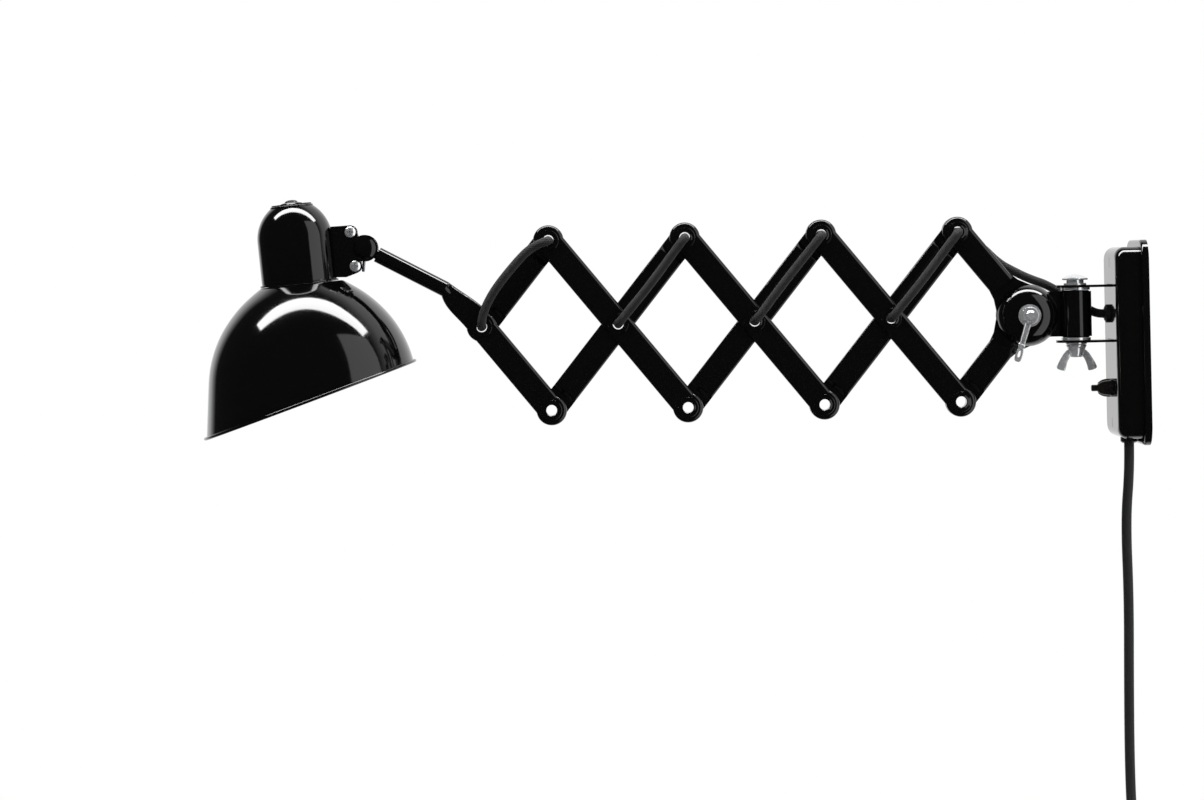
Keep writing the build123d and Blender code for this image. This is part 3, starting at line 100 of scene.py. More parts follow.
camera_data = bpy.data.cameras.new("camera")
camera_data.sensor_width = sensor_width
camera_data.lens = sensor_width * camera_distance / frame_width
camera_data.shift_y = -0.1146
camera_data.clip_end = 30
camera = bpy.data.objects.new("camera", camera_data)
scene.collection.objects.link(camera)
camera.matrix_world = (
    Matrix.Translation((-0.431, -camera_distance, 0.0727))
    @ Matrix.Rotation(picture_lean, 4, "Y")
    @ Matrix.Rotation(radians(90), 4, "X")
)
scene.camera = camera
print("lens", round(camera_data.lens, 1))

# %% [markdown]
# ## Small helpers for materials
# A hex colour is written as a screen shows it, and Blender works in linear light, so one function turns the
# first into the second. Another adds a node with its settings, values and links, which keeps each material
# short.


# %% Material helpers
def colour(hex_value):
    """A linear colour from an sRGB hex value."""
    channels = [int(hex_value[start : start + 2], 16) / 255 for start in (1, 3, 5)]
    linear = [c / 12.92 if c <= 0.04045 else ((c + 0.055) / 1.055) ** 2.4 for c in channels]
    return (*linear, 1.0)


def add_node(tree, kind, values=None, links=None, **settings):
    """One node with its settings, the values of its sockets and the outputs that feed them."""
    made = tree.nodes.new(kind)
    for name, value in settings.items():
        setattr(made, name, value)
    for socket, value in (values or {}).items():
        made.inputs[socket].default_value = value
    for socket, source in (links or {}).items():
        tree.links.new(source, made.inputs[socket])
    return made


def new_material(name, **values):
    """A material with one Principled shader, whose sockets are set by name with blanks as underscores."""
    material = bpy.data.materials.new(name)
    material.use_nodes = True
    tree = material.node_tree
    shader = tree.nodes["Principled BSDF"]
    for key, value in values.items():
        shader.inputs[key.replace("_", " ")].default_value = value
    return material, tree, shader


def object_noise(tree, size_mm, detail=3.0, roughness=0.5):
    """Noise in the lamp's own space whose grain is about the given size."""
    place = add_node(tree, "ShaderNodeTexCoord")
    return add_node(
        tree,
        "ShaderNodeTexNoise",
        {"Scale": 1 / (size_mm * MM), "Detail": detail, "Roughness": roughness},
        {"Vector": place.outputs["Object"]},
    )


def vary(tree, source, socket, low, high):
    """Feeds a socket with a pattern that runs from low to high."""
    spread = add_node(tree, "ShaderNodeMapRange", {"To Min": low, "To Max": high}, {"Value": source})
    tree.links.new(spread.outputs["Result"], socket)


def emboss(tree, shader, source, height_mm, strength=1.0):
    """A bump of a real height on the shader."""
    bump = add_node(
        tree, "ShaderNodeBump", {"Strength": strength, "Distance": height_mm * MM}, {"Height": source}
    )
    tree.links.new(bump.outputs["Normal"], shader.inputs["Normal"])


# %% [markdown]
# ## Stoved enamel
# The plate, links, domes, cap and shade are pressed steel under gloss black stoving enamel. It is sprayed
# and baked, so it has the faint waviness called orange peel, about 2 mm across, and finger marks that dull
# the gloss in places.

# %% Enamels
black_enamel, tree, shader = new_material("black_stoving_enamel", Base_Color=colour("#050505"), IOR=1.5)
marks = object_noise(tree, 26, 4.0, 0.6)
vary(tree, marks.outputs["Fac"], shader.inputs["Roughness"], 0.04, 0.12)
peel = object_noise(tree, 2.2, 2.0)
emboss(tree, shader, peel.outputs["Fac"], 0.012, 0.4)

white_enamel, tree, shader = new_material("white_reflector_enamel", IOR=1.52)
cloud = object_noise(tree, 40, 2.0)
tone = add_node(
    tree,
    "ShaderNodeMix",
    {"A": colour("#efece4"), "B": colour("#e6e2d8")},
    {"Factor": cloud.outputs["Fac"]},
    data_type="RGBA",
)
tree.links.new(tone.outputs["Result"], shader.inputs["Base Color"])
vary(tree, cloud.outputs["Fac"], shader.inputs["Roughness"], 0.22, 0.34)
peel = object_noise(tree, 2.2, 2.0)
emboss(tree, shader, peel.outputs["Fac"], 0.03, 0.5)
print("enamels made")

# %% [markdown]
# ## Metals
# The bolts, the wing nut, the lever and the ball are nickel-chrome plated: nearly a mirror, with a few soft
# smears. The hidden plate is zinc-plated steel, duller and slightly mottled, and the plug's pins are drawn
# brass.


# %% Metals
def plated(name, hex_value, rough_low, rough_high, grain_mm, metallic=1.0):
    """A metal whose gloss wanders between two roughnesses over grains of a real size."""
    material, tree, shader = new_material(name, Base_Color=colour(hex_value), Metallic=metallic)
    grain = object_noise(tree, grain_mm, 4.0, 0.6)
    vary(tree, grain.outputs["Fac"], shader.inputs["Roughness"], rough_low, rough_high)
    emboss(tree, shader, grain.outputs["Fac"], 0.01, 0.4)
    return material


chrome_plate = plated("chrome_plate", "#e8e9eb", 0.14, 0.26, 6, metallic=0.8)
zinc_plate = plated("zinc_plated_steel", "#a8aaad", 0.28, 0.45, 3)
drawn_brass = plated("drawn_brass", "#c9a65a", 0.18, 0.32, 4)


# %% [markdown]
# ## Moulded and fired parts
# The switch, gland and plug are moulded phenolic resin, a hard black plastic with a soft gloss and a faint
# brown cast. The grommet and the cord's tie are rubber, matt with a fine grain. The lampholder is glazed
# porcelain.


# %% Plastics, rubber, porcelain and glass
def moulded(name, hex_value, rough_low, rough_high, grain_mm, relief_mm, ior=1.5):
    """A moulded or fired surface with a fine grain."""
    material, tree, shader = new_material(name, Base_Color=colour(hex_value), IOR=ior)
    sheen = object_noise(tree, 14, 3.0)
    vary(tree, sheen.outputs["Fac"], shader.inputs["Roughness"], rough_low, rough_high)
    grain = object_noise(tree, grain_mm, 2.0)
    emboss(tree, shader, grain.outputs["Fac"], relief_mm, 0.6)
    return material


phenolic = moulded("moulded_phenolic", "#110f0e", 0.18, 0.3, 1.2, 0.02, 1.6)
rubber = moulded("black_rubber", "#161616", 0.6, 0.8, 0.6, 0.04)
porcelain = moulded("glazed_porcelain", "#ece8df", 0.1, 0.2, 5, 0.04)
white_nylon = moulded("white_nylon", "#dedcd6", 0.4, 0.55, 0.8, 0.02)
bulb_glass = new_material(
    "clear_bulb_glass", Base_Color=colour("#ffffff"), Roughness=0.02, IOR=1.45, Transmission_Weight=1.0
)[0]
print("materials", len(bpy.data.materials))

# %% [markdown]
# ## Braided flex
# The flex and the mains lead wear a braid of black cotton over round rubber: two sets of threads wound
# opposite ways, over and under each other. Two slanting waves on the tube's own UV map, one for each set,
# make the weave. The map runs once round the tube and counts metres along it, so the thread width is a real
# size. Real threads are about 0.4 mm wide, and here they are near twice that so that they show in the
# picture.

# %% Cotton braid
threads_round = 12
braid_lay = 0.009

cotton_braid, tree, shader = new_material("black_cotton_braid", Roughness=0.75)
shader.inputs["Sheen Weight"].default_value = 0.06
shader.inputs["Sheen Roughness"].default_value = 0.4
tube_map = add_node(tree, "ShaderNodeUVMap", uv_map="UVMap")
split_map = add_node(tree, "ShaderNodeSeparateXYZ", links={"Vector": tube_map.outputs["UV"]})
round_turns = add_node(
    tree, "ShaderNodeMath", {1: threads_round * 2 * pi}, {0: split_map.outputs["X"]}, operation="MULTIPLY"
)
long_turns = add_node(
    tree,
    "ShaderNodeMath",
    {1: threads_round * 2 * pi / (braid_lay * 4)},
    {0: split_map.outputs["Y"]},
    operation="MULTIPLY",
)
waves = []
for twist in ("ADD", "SUBTRACT"):
    phase = add_node(
        tree,
        "ShaderNodeMath",
        links={0: round_turns.outputs[0], 1: long_turns.outputs[0]},
        operation=twist,
    )
    waves.append(add_node(tree, "ShaderNodeMath", links={0: phase.outputs[0]}, operation="SINE"))
weave = add_node(
    tree, "ShaderNodeMath", links={0: waves[0].outputs[0], 1: waves[1].outputs[0]}, operation="MAXIMUM"
)
thread = add_node(
    tree, "ShaderNodeMapRange", {"From Min": -0.6, "From Max": 1.0}, {"Value": weave.outputs[0]}
)
thread_tone = add_node(
    tree,
    "ShaderNodeMix",
    {"A": colour("#020202"), "B": colour("#19191a")},
    {"Factor": thread.outputs["Result"]},
    data_type="RGBA",
)
tree.links.new(thread_tone.outputs["Result"], shader.inputs["Base Color"])
emboss(tree, shader, thread.outputs["Result"], 0.35, 0.7)
print("braid threads round", threads_round)

# %% [markdown]
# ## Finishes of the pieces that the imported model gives
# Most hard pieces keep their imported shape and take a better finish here. The record names each piece's
# material slot, and one table says which finish stands for which slot.

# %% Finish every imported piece
finish_of_slot = {
    "black_enamel": black_enamel,
    "white_enamel": white_enamel,
    "chrome": chrome_plate,
    "zinc_steel": zinc_plate,
    "black_plastic": phenolic,
    "white_plastic": white_nylon,
    "black_rubber": rubber,
    "braided_flex": cotton_braid,
    "brass": drawn_brass,
    "porcelain": porcelain,
    "bulb_glass": bulb_glass,
}
for entry in frame["record"]["subparts"]:
    piece = cad_nodes[entry["node"]]
    for material_slot in piece.material_slots:
        material_slot.material = finish_of_slot[entry["material_slot"]]


# %% [markdown]
# ## Tubes along a smooth line
# A flex is bent, not folded, so its route is a NURBS curve: a smooth line drawn towards its control points.
# The line is read back as points, and a round skin is laid along it with a UV map for the braid.


# %% Tube helpers
def smooth_line(points, steps=10):
    """The points of a smooth curve that is drawn towards the given ones."""
    data = bpy.data.curves.new("route", "CURVE")
    data.dimensions = "3D"
    data.resolution_u = steps
    spline = data.splines.new("NURBS")
    spline.points.add(len(points) - 1)
    for control, place in zip(spline.points, points):
        control.co = (*place, 1)
    spline.order_u = 3
    spline.use_endpoint_u = True
    holder = bpy.data.objects.new("route", data)
    scene.collection.objects.link(holder)
    bpy.context.view_layer.update()
    mesh = bpy.data.meshes.new_from_object(holder)
    line = [vertex.co.copy() for vertex in mesh.vertices]
    bpy.data.objects.remove(holder)
    bpy.data.curves.remove(data)
    bpy.data.meshes.remove(mesh)
    return line


def line_length(line):
    return sum((after - before).length for before, after in zip(line, line[1:]))


def make_piece(name, mesh, material, body, *replaced):
    """Links a mesh as a piece of the lamp: its finish, the body it rides on and the nodes it stands for."""
    piece = bpy.data.objects.new(name, mesh)
    scene.collection.objects.link(piece)
    if material:
        mesh.materials.append(material)
    if body:
        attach(piece, body)
    if replaced:
        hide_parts(*replaced)
    return piece


def shade_smoothly(mesh, angle=32):
    """Smooth shading with sharp edges kept where the surface turns by more than the angle."""
    mesh.shade_smooth()
    mesh.set_sharp_from_angle(angle=radians(angle))


def tube_mesh(name, line, radius, sides=20):
    """A round skin along a line, closed at its ends, with a UV map: once round, and metres along."""
    shape = bmesh.new()
    tube_map = shape.loops.layers.uv.new("UVMap")
    heading = (line[1] - line[0]).normalized()
    across = heading.orthogonal().normalized()
    rings, distances, along = [], [], 0.0
    for index, place in enumerate(line):
        before, after = line[max(index - 1, 0)], line[min(index + 1, len(line) - 1)]
        direction = (after - before).normalized()
        across.rotate(heading.rotation_difference(direction))
        heading = direction
        up = heading.cross(across)
        if index:
            along += (place - line[index - 1]).length
        rings.append(
            [
                shape.verts.new(place + (across * cos(angle) + up * sin(angle)) * radius)
                for angle in (2 * pi * step / sides for step in range(sides))
            ]
        )
        distances.append(along)
    for ring, (low, high) in enumerate(zip(rings, rings[1:])):
        for step in range(sides):
            other = (step + 1) % sides
            face = shape.faces.new((low[step], low[other], high[other], high[step]))
            shares = (step, step + 1, step + 1, step)
            places = (distances[ring], distances[ring], distances[ring + 1], distances[ring + 1])
            for loop, share, place in zip(face.loops, shares, places):
                loop[tube_map].uv = (share / sides, place)
    shape.faces.new(rings[0][::-1])
    shape.faces.new(rings[-1])
    mesh = bpy.data.meshes.new(name)
    shape.to_mesh(mesh)
    shape.free()
    shade_smoothly(mesh, 60)
    return mesh


# %% [markdown]
# ## Turned, cut and channelled metal
# The small bright pieces in front are what the eye goes to, so they are drawn finer here than in the packed
# model: a lathe makes rings, cones and knobs, a cut plate makes wings and paddles, and a folded channel
# makes the lever.


# %% Small metal helpers
def along_axis(origin, axis):
    """Turns (right, depth, up) in millimetres into a place, with depth along the axis."""
    axis = Vector(axis).normalized()
    up = Vector((0, 0, 1)) if abs(axis.z) < 0.9 else Vector((0, -1, 0))
    up = (up - axis * up.dot(axis)).normalized()
    right = up.cross(axis)
    return lambda r, depth, u: Vector(origin) + (right * r + axis * depth + up * u) * MM


def turned(shape, profile, to_place, sides=48, swell=None):
    """Adds a lathe-turned solid from (radius, depth) points; swell scales the radius by angle and depth."""
    rings = []
    for radius, depth in profile:
        ring = []
        for step in range(sides):
            angle = 2 * pi * step / sides
            size = radius * (swell(angle, depth) if swell else 1.0)
            ring.append(shape.verts.new(to_place(size * cos(angle), depth, size * sin(angle))))
        rings.append(ring)
    for low, high in zip(rings, rings[1:] + rings[:1]):
        for step in range(sides):
            other = (step + 1) % sides
            shape.faces.new((low[step], low[other], high[other], high[step]))


def cut_plate(shape, outline, back, front, to_place, window=None):
    """Adds a plate with an outline and, with as many points, a window cut through it."""
    loops = [
        [shape.verts.new(to_place(right, depth, up)) for right, up in line]
        for line in (outline, window or [])
        for depth in (back, front)
        if line
    ]
    count = len(outline)
    steps = [(step, (step + 1) % count) for step in range(count)]
    for step, other in steps:
        shape.faces.new((loops[0][step], loops[0][other], loops[1][other], loops[1][step]))
        if window:
            shape.faces.new((loops[2][step], loops[3][step], loops[3][other], loops[2][other]))
            shape.faces.new((loops[0][step], loops[2][step], loops[2][other], loops[0][other]))
            shape.faces.new((loops[1][step], loops[1][other], loops[3][other], loops[3][step]))
    if not window:
        shape.faces.new(loops[0][::-1])
        shape.faces.new(loops[1])


def finish_shape(name, shape, edge_round=0.0, angle=30):
    """Welds, rounds the sharp edges, sets the shading and makes the mesh."""
    bmesh.ops.recalc_face_normals(shape, faces=shape.faces)
    if edge_round:
        sharp = [e for e in shape.edges if len(e.link_faces) == 2 and e.calc_face_angle(0) > radians(35)]
        bmesh.ops.bevel(
            shape,
            geom=sharp,
            offset=edge_round * MM,
            segments=3,
            profile=0.5,
            affect="EDGES",
            clamp_overlap=True,
        )
    mesh = bpy.data.meshes.new(name)
    shape.to_mesh(mesh)
    shape.free()
    shade_smoothly(mesh, angle)
    return mesh


def circle(radius, count, right=0.0, up=0.0, start=0.0):
    """Points round a circle."""
    turns = (start + 2 * pi * step / count for step in range(count))
    return [(right + radius * cos(turn), up + radius * sin(turn)) for turn in turns]


# %% [markdown]
# ## Clamp lever
# The lever that clamps the hub is pressed from sheet: a ring on the bolt, a shank folded to a channel with
# two rails, a rolled knuckle, and a paddle with a tear-shaped window. Each is a short outline in the
# lever's own frame, which leans with it.

# %% Clamp lever
lever_lean = radians(17)
lever_down = Vector((-sin(lever_lean), 0, -cos(lever_lean)))
lever_side = Vector((cos(lever_lean), 0, -sin(lever_lean)))
lever_back = -20.7
lever_front = -23.8


def on_lever(across, depth, along):
    """A place on the lever: across it, at a depth, and along it from the bolt, in millimetres."""
    return hub + (lever_side * across + lever_down * along + Vector((0, depth, 0))) * MM


lever_shape = bmesh.new()
ring_radius = 7.0
ring_hole = 4.1
ring_points = 40
cut_plate(
    lever_shape,
    circle(ring_radius, ring_points),
    lever_back,
    lever_front,
    on_lever,
    circle(ring_hole, ring_points),
)
channel = ((-2.5, -0.6), (-2.5, -3.1), (-1.75, -3.1), (-1.75, -1.3))
channel += ((1.75, -1.3), (1.75, -3.1), (2.5, -3.1), (2.5, -0.6))
shank_ends = ((5.6, 1.0), (23.6, 0.86))
sections = [
    [
        lever_shape.verts.new(on_lever(across * narrow, lever_back + depth, along))
        for across, depth in channel
    ]
    for along, narrow in shank_ends
]
for step in range(len(channel)):
    other = (step + 1) % len(channel)
    lever_shape.faces.new((sections[0][step], sections[0][other], sections[1][other], sections[1][step]))
lever_shape.faces.new(sections[0][::-1])
lever_shape.faces.new(sections[1])
paddle = [(-1.9, 25.2), (-2.4, 27.4), (-2.8, 30.0), (-2.8, 34.0), (-2.6, 36.6), (-1.6, 38.0)]
paddle += [(1.6, 38.0), (2.6, 36.6), (2.8, 34.0), (2.8, 30.0), (2.4, 27.4), (1.9, 25.2)]
window = [(-0.3, 28.0), (-0.6, 29.2), (-0.95, 30.8), (-1.1, 32.4), (-0.9, 33.6), (-0.4, 34.3)]
window += [(0.4, 34.3), (0.9, 33.6), (1.1, 32.4), (0.95, 30.8), (0.6, 29.2), (0.3, 28.0)]
paddle_back = lever_back - 0.4
paddle_front = lever_back - 2.6
cut_plate(lever_shape, paddle, paddle_back, paddle_front, on_lever, window)
knuckle = along_axis(on_lever(-2.7, lever_back - 1.6, 24.6), lever_side)
turned(lever_shape, ((0.01, 0), (1.3, 0), (1.75, 0.4), (1.75, 5.0), (1.3, 5.4), (0.01, 5.4)), knuckle, 20)
bright_lever = make_piece(
    "bright_lever", finish_shape("bright_lever", lever_shape, 0.3), chrome_plate, "lever", "clamp_lever"
)

# %% [markdown]
# ## Wing nut
# The nut under the swivel is a cone with two cast wings that sweep down and flare at their tips. The cone
# is turned, each wing is cut from one outline, and rounding every sharp edge gives the soft look of a
# casting.

# %% Wing nut
swivel_foot = Vector((-0.0531, 0, 0))
nut_top = -0.9
wing_outline = [(5.0, -3.4), (8.0, -5.0), (10.4, -7.6), (12.6, -11.2), (14.6, -14.6), (16.1, -18.2)]
wing_outline += [(15.4, -19.6), (12.6, -20.7), (9.9, -21.2), (9.0, -20.6), (8.4, -17.4), (7.5, -14.4)]
wing_outline += [(6.0, -11.2), (4.4, -8.8)]

nut_profile = ((3.1, 0), (7.6, 0), (8.2, 0.5), (8.2, 1.7), (7.7, 2.3))
nut_profile += ((6.0, 6.6), (5.0, 10.0), (4.6, 10.4), (3.1, 10.4))
half_wing = 1.6

nut_shape = bmesh.new()
nut_place = along_axis(swivel_foot + Vector((0, 0, nut_top * MM)), (0, 0, -1))
turned(nut_shape, nut_profile, nut_place)
for hand in (1, -1):
    outline = [(hand * right, up) for right, up in wing_outline]
    cut_plate(
        nut_shape,
        outline,
        half_wing,
        -half_wing,
        lambda right, depth, up: swivel_foot + Vector((right, depth, nut_top + up)) * MM,
    )
bright_nut = make_piece(
    "bright_wing_nut", finish_shape("bright_wing_nut", nut_shape, 0.7), chrome_plate, "wing", "wing_nut"
)

# %% [markdown]
# ## Switch knob
# The push switch has a moulded collar with eight finger lobes round its waist, which catch a row of
# highlights.

# %% Switch knob
switch_middle = Vector((-25.4, 0, -36.3)) * MM
knob_lobes = 8
lobe_share = 0.06


def lobes(angle, depth):
    """The collar's radius at an angle: full lobes at its waist, none at its foot."""
    return 1 + lobe_share * cos(knob_lobes * angle) * min(1.0, max(0.0, depth - 1.0))


knob_profile = ((2.9, 0), (7.35, 0), (7.35, 1.2), (6.9, 2.0), (6.95, 3.0), (6.7, 5.4))
knob_profile += ((6.2, 7.4), (5.4, 9.2), (4.6, 10.4), (4.0, 11.0), (3.3, 11.2), (2.9, 10.9))
knob_shape = bmesh.new()
turned(knob_shape, knob_profile, along_axis(switch_middle, (-1, 0, 0)), 96, lobes)
lobed_knob = make_piece(
    "lobed_switch_knob",
    finish_shape("lobed_switch_knob", knob_shape, 0, 40),
    phenolic,
    "wall_unit",
    "switch_bezel",
)

# %% [markdown]
# ## Mains lead
# The lead leaves the gland under the wall plate, hangs along the wall in a lazy wave and runs out of the
# picture. The rest of a usual 1.8 m lead is put away below it, wound in five turns on two layers and tied,
# with the plug on its short tail. One NURBS line holds it all, its hanging part given as listed points and
# its turns worked out by a loop.

# %% Mains lead
lead_radius = 4 * MM
coil_turns = 5
coil_pitch = 8.6 * MM
coil_mid_radius = 44.5 * MM
coil_outer = coil_mid_radius + coil_pitch * coil_turns / 4
coil_depth_front = -17.2 * MM
coil_height = -482 * MM
climb_turns = 0.5
points_per_turn = 16
tail_length = 34 * MM

hanging = [
    Vector(point) * MM
    for point in (
        (-12.5, 0, -80.5),
        (-12.5, 0, -102.0),
        (-16.4, 0.5, -142.0),
        (-15.2, 0, -204.0),
        (-16.6, -0.8, -268.0),
        (-17.3, 0, -330.0),
        (-17.0, -2.5, -376.0),
        (-17.1, -23.0, -409.0),
        (-17.2, -45.0, -432.0),
        (-17.2, -55.25, -458.0),
    )
]


def coil_point(turn):
    """A place on the coil: it spirals in, climbs a layer where it turns back, and spirals out again."""
    radius = coil_outer - coil_pitch * min(turn, coil_turns - turn)
    share = min(1.0, max(0.0, (turn - (coil_turns - climb_turns) / 2) / climb_turns))
    depth = coil_depth_front + coil_pitch * (1 - cos(pi * share)) / 2
    angle = pi + 2 * pi * turn
    spread = 1 / cos(pi / points_per_turn) ** 0.5
    return Vector((depth, radius * spread * cos(angle), coil_height + radius * spread * sin(angle)))


turns = [coil_point(step / points_per_turn) for step in range(coil_turns * points_per_turn + 1)]
tail = [turns[-1] - Vector((0, 0, tail_length * share)) for share in (0.35, 0.7, 1)]
lead_line = smooth_line(hanging + turns + tail, 8)
lead_length = line_length(lead_line)
mains_lead = make_piece(
    "mains_lead",
    tube_mesh("mains_lead", lead_line, lead_radius),
    cotton_braid,
    "wall_unit",
    "mains_cord",
    "mains_coil",
)
print("mains lead length", round(lead_length, 3))

# %% [markdown]
# ## Flex on the arm
# A thinner flex climbs the arm. It lies in front of each far link from a top pivot to the next centre
# pivot, dives through the hollow eyelet, and goes on behind the near link. Each stretch rides on one link,
# except three stretches near the wall that cross a joint: these ride on no body and stay where they are drawn.

# %% Flex on the arm
flex_radius = 3.5 * MM
front_depth = -14.5 * MM
back_depth = 13 * MM


def eyelet_to_eyelet(first, last, depth, droop):
    """Control points from inside one eyelet, out to a depth, along the link, and into the next eyelet."""
    run = (last - first).normalized()
    side = Vector((-run.z, 0, run.x))
    out = depth * 0.55
    points = [at_depth(first, 0), at_depth(first, out), at_depth(first, depth * 1.02)]
    for share, sway in ((0.14, 0.0), (0.38, 0.8), (0.64, 1.0), (0.86, 0.0)):
        points.append(at_depth(first + (last - first) * share, depth) + side * droop * sway)
    return points + [at_depth(last, depth * 1.02), at_depth(last, out), at_depth(last, 0)]


def arm_flex(name, points, body, replaced):
    piece = make_piece(name, tube_mesh(name, smooth_line(points), flex_radius), cotton_braid, body, replaced)
    return piece


droops = {1: 0.6 * MM, 2: -0.5 * MM, 3: 0.8 * MM}
for index, droop in droops.items():
    arm_flex(
        f"arm_flex_front_{index}",
        eyelet_to_eyelet(top_pivot(index), centre_pivot(index), front_depth, droop),
        f"far_{index}",
        f"flex_front_{index}",
    )
    arm_flex(
        f"arm_flex_back_{index}",
        eyelet_to_eyelet(centre_pivot(index), top_pivot(index + 1), back_depth, -droop),
        f"near_{index}",
        f"flex_back_{index}",
    )

slack = [
    at_depth(top_pivot(4), 0),
    at_depth(top_pivot(4), front_depth * 0.55),
    at_depth(top_pivot(4), front_depth * 1.02),
    hub + Vector((-0.3955, front_depth, 0.0625)),
    hub + Vector((-0.4085, front_depth, 0.0495)),
    hub + Vector((-0.4255, front_depth, 0.0290)),
    hub + Vector((-0.4345, front_depth, 0.0120)),
    at_depth(centre_pivot(4), front_depth * 1.02),
    at_depth(centre_pivot(4), front_depth * 0.55),
    at_depth(centre_pivot(4), 0),
]
arm_flex("arm_flex_front_4", slack, "far_4", "flex_front_4")

entry_points = [
    at_depth(centre_pivot(4), 0),
    at_depth(centre_pivot(4), 7 * MM),
    at_depth(centre_pivot(4), 12 * MM),
    hub + Vector((-0.4480, 0.0125, 0.0130)),
    hub + Vector((-0.4600, 0.0118, 0.0245)),
    hub + Vector((-0.4740, 0.0062, 0.0345)),
    hub + Vector((-0.4910, -0.0035, 0.0448)),
]
arm_flex("arm_flex_end", entry_points, "shade_arm_body", "flex_to_shade_arm")

grommet_mouth = Vector((-29.4, 6, 23)) * MM
behind_barrel = Vector((-53.1, 18.8, 34.7)) * MM
over_hub = Vector((-92.1, 16.2, 54.2)) * MM
crossing_flexes = (
    (
        "flex_at_swivel",
        [grommet_mouth, Vector((-33.5, 6, 23)) * MM, Vector((-39, 10, 25)) * MM]
        + [Vector((-45.5, 18.0, 30.0)) * MM, Vector((-49.5, 19.0, 32.7)) * MM, behind_barrel],
        "wall_unit",
        "swivel",
        "flex_wall_to_swivel",
    ),
    (
        "flex_at_hub",
        [behind_barrel, Vector((-59.0, 18.5, 38.1)) * MM, Vector((-75.0, 17.5, 47.6)) * MM]
        + [Vector((-85.0, 16.7, 51.0)) * MM, over_hub],
        "swivel",
        "hub",
        "flex_swivel_to_hub",
    ),
    (
        "flex_to_first_eyelet",
        [over_hub, Vector((-99.5, 15.7, 57.9)) * MM, Vector((-113.0, 14.6, 65.4)) * MM]
        + [at_depth(top_1 + (hub - top_1) * 0.09 + Vector((0.014, 0, -0.004)), 13.3 * MM)]
        + [at_depth(top_1, back_depth * 1.02), at_depth(top_1, back_depth * 0.55), at_depth(top_1, 0)],
        "hub",
        "near_0",
        "flex_hub_to_arm",
    ),
)
for name, points, body_before, body_after, replaced in crossing_flexes:
    piece = make_piece(name, tube_mesh(name, smooth_line(points), flex_radius), cotton_braid, None)
    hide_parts(replaced)
    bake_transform(piece)
print("flex stretches", len(droops) * 2 + 2 + len(crossing_flexes))

# %% [markdown]
# ## Frame of the head
# The shade and the cap's disc are round about one axis, which leans a little to the left in the photograph.
# Their places are given in a frame that leans with it, so that a profile can be written as radii and
# heights.

# %% Frame of the head
head_tilt = radians(4.8)
head_right = Vector((cos(head_tilt), 0, sin(head_tilt)))
head_up = Vector((-sin(head_tilt), 0, cos(head_tilt)))
head_centre = hub + Vector((-580.9, -3.5, 37.1)) * MM


def head_point(right, up, towards_viewer=0.0):
    """A place in the head's own frame, in millimetres from the middle of the cap's foot."""
    return head_centre + (head_right * right + head_up * up - Vector((0, towards_viewer, 0))) * MM


# %% [markdown]
# ## Ribbed disc on the cap
# A moulded disc closes the top of the lampholder's cap. One rib is repeated round it by Geometry Nodes: a
# circle of points, one instance at each, turned to face outwards, joined to the disc and given its finish.

# %% Ribbed disc
disc_height = 61.5
rib_count = 28

disc_shape = bmesh.new()
disc_profile = ((4.9, -3.0), (4.9, 0), (17.2, 0), (17.2, 1.2), (16.6, 1.7), (9.0, 2.7), (8.4, 3.4))
disc_profile += ((5.2, 4.2), (5.0, 4.8), (3.8, 5.6), (2.0, 6.0), (0.02, 6.1), (0.02, -3.0))
turned(disc_shape, [(radius, disc_height + height) for radius, height in disc_profile], head_point, 72)
disc_mesh = finish_shape("plain_disc", disc_shape, 0.15, 40)
plain_disc = bpy.data.objects.new("plain_disc", disc_mesh)

rib_tree = bpy.data.node_groups.new("ribs_round_a_disc", "GeometryNodeTree")
rib_tree.interface.new_socket("Disc", in_out="INPUT", socket_type="NodeSocketGeometry")
for socket_name, kind, default in (
    ("Ribs", "NodeSocketInt", rib_count),
    ("Ring radius", "NodeSocketFloat", 12.6 * MM),
    ("Rib length", "NodeSocketFloat", 6.6 * MM),
    ("Rib width", "NodeSocketFloat", 1.1 * MM),
    ("Rib height", "NodeSocketFloat", 1.5 * MM),
    ("Finish", "NodeSocketMaterial", black_enamel),
):
    socket = rib_tree.interface.new_socket(socket_name, in_out="INPUT", socket_type=kind)
    socket.default_value = default
rib_tree.interface.new_socket("Ribbed disc", in_out="OUTPUT", socket_type="NodeSocketGeometry")
given = add_node(rib_tree, "NodeGroupInput").outputs
ring = add_node(
    rib_tree,
    "GeometryNodeMeshCircle",
    links={"Vertices": given["Ribs"], "Radius": given["Ring radius"]},
)
rib_size = add_node(
    rib_tree,
    "ShaderNodeCombineXYZ",
    links={"X": given["Rib length"], "Y": given["Rib width"], "Z": given["Rib height"]},
)
rib = add_node(rib_tree, "GeometryNodeMeshCube", links={"Size": rib_size.outputs[0]})
spot = add_node(rib_tree, "GeometryNodeInputPosition")
facing = add_node(
    rib_tree, "FunctionNodeAlignRotationToVector", links={"Vector": spot.outputs[0]}, axis="X", pivot_axis="Z"
)
ribs = add_node(
    rib_tree,
    "GeometryNodeInstanceOnPoints",
    links={"Points": ring.outputs[0], "Instance": rib.outputs["Mesh"], "Rotation": facing.outputs[0]},
)
set_down = add_node(
    rib_tree,
    "GeometryNodeTransform",
    {"Translation": head_point(0, disc_height + 1.9), "Rotation": (0, -head_tilt, 0)},
    {"Geometry": ribs.outputs[0]},
)
joined = add_node(rib_tree, "GeometryNodeJoinGeometry")
rib_tree.links.new(given["Disc"], joined.inputs[0])
rib_tree.links.new(set_down.outputs[0], joined.inputs[0])
real = add_node(rib_tree, "GeometryNodeRealizeInstances", links={"Geometry": joined.outputs[0]})
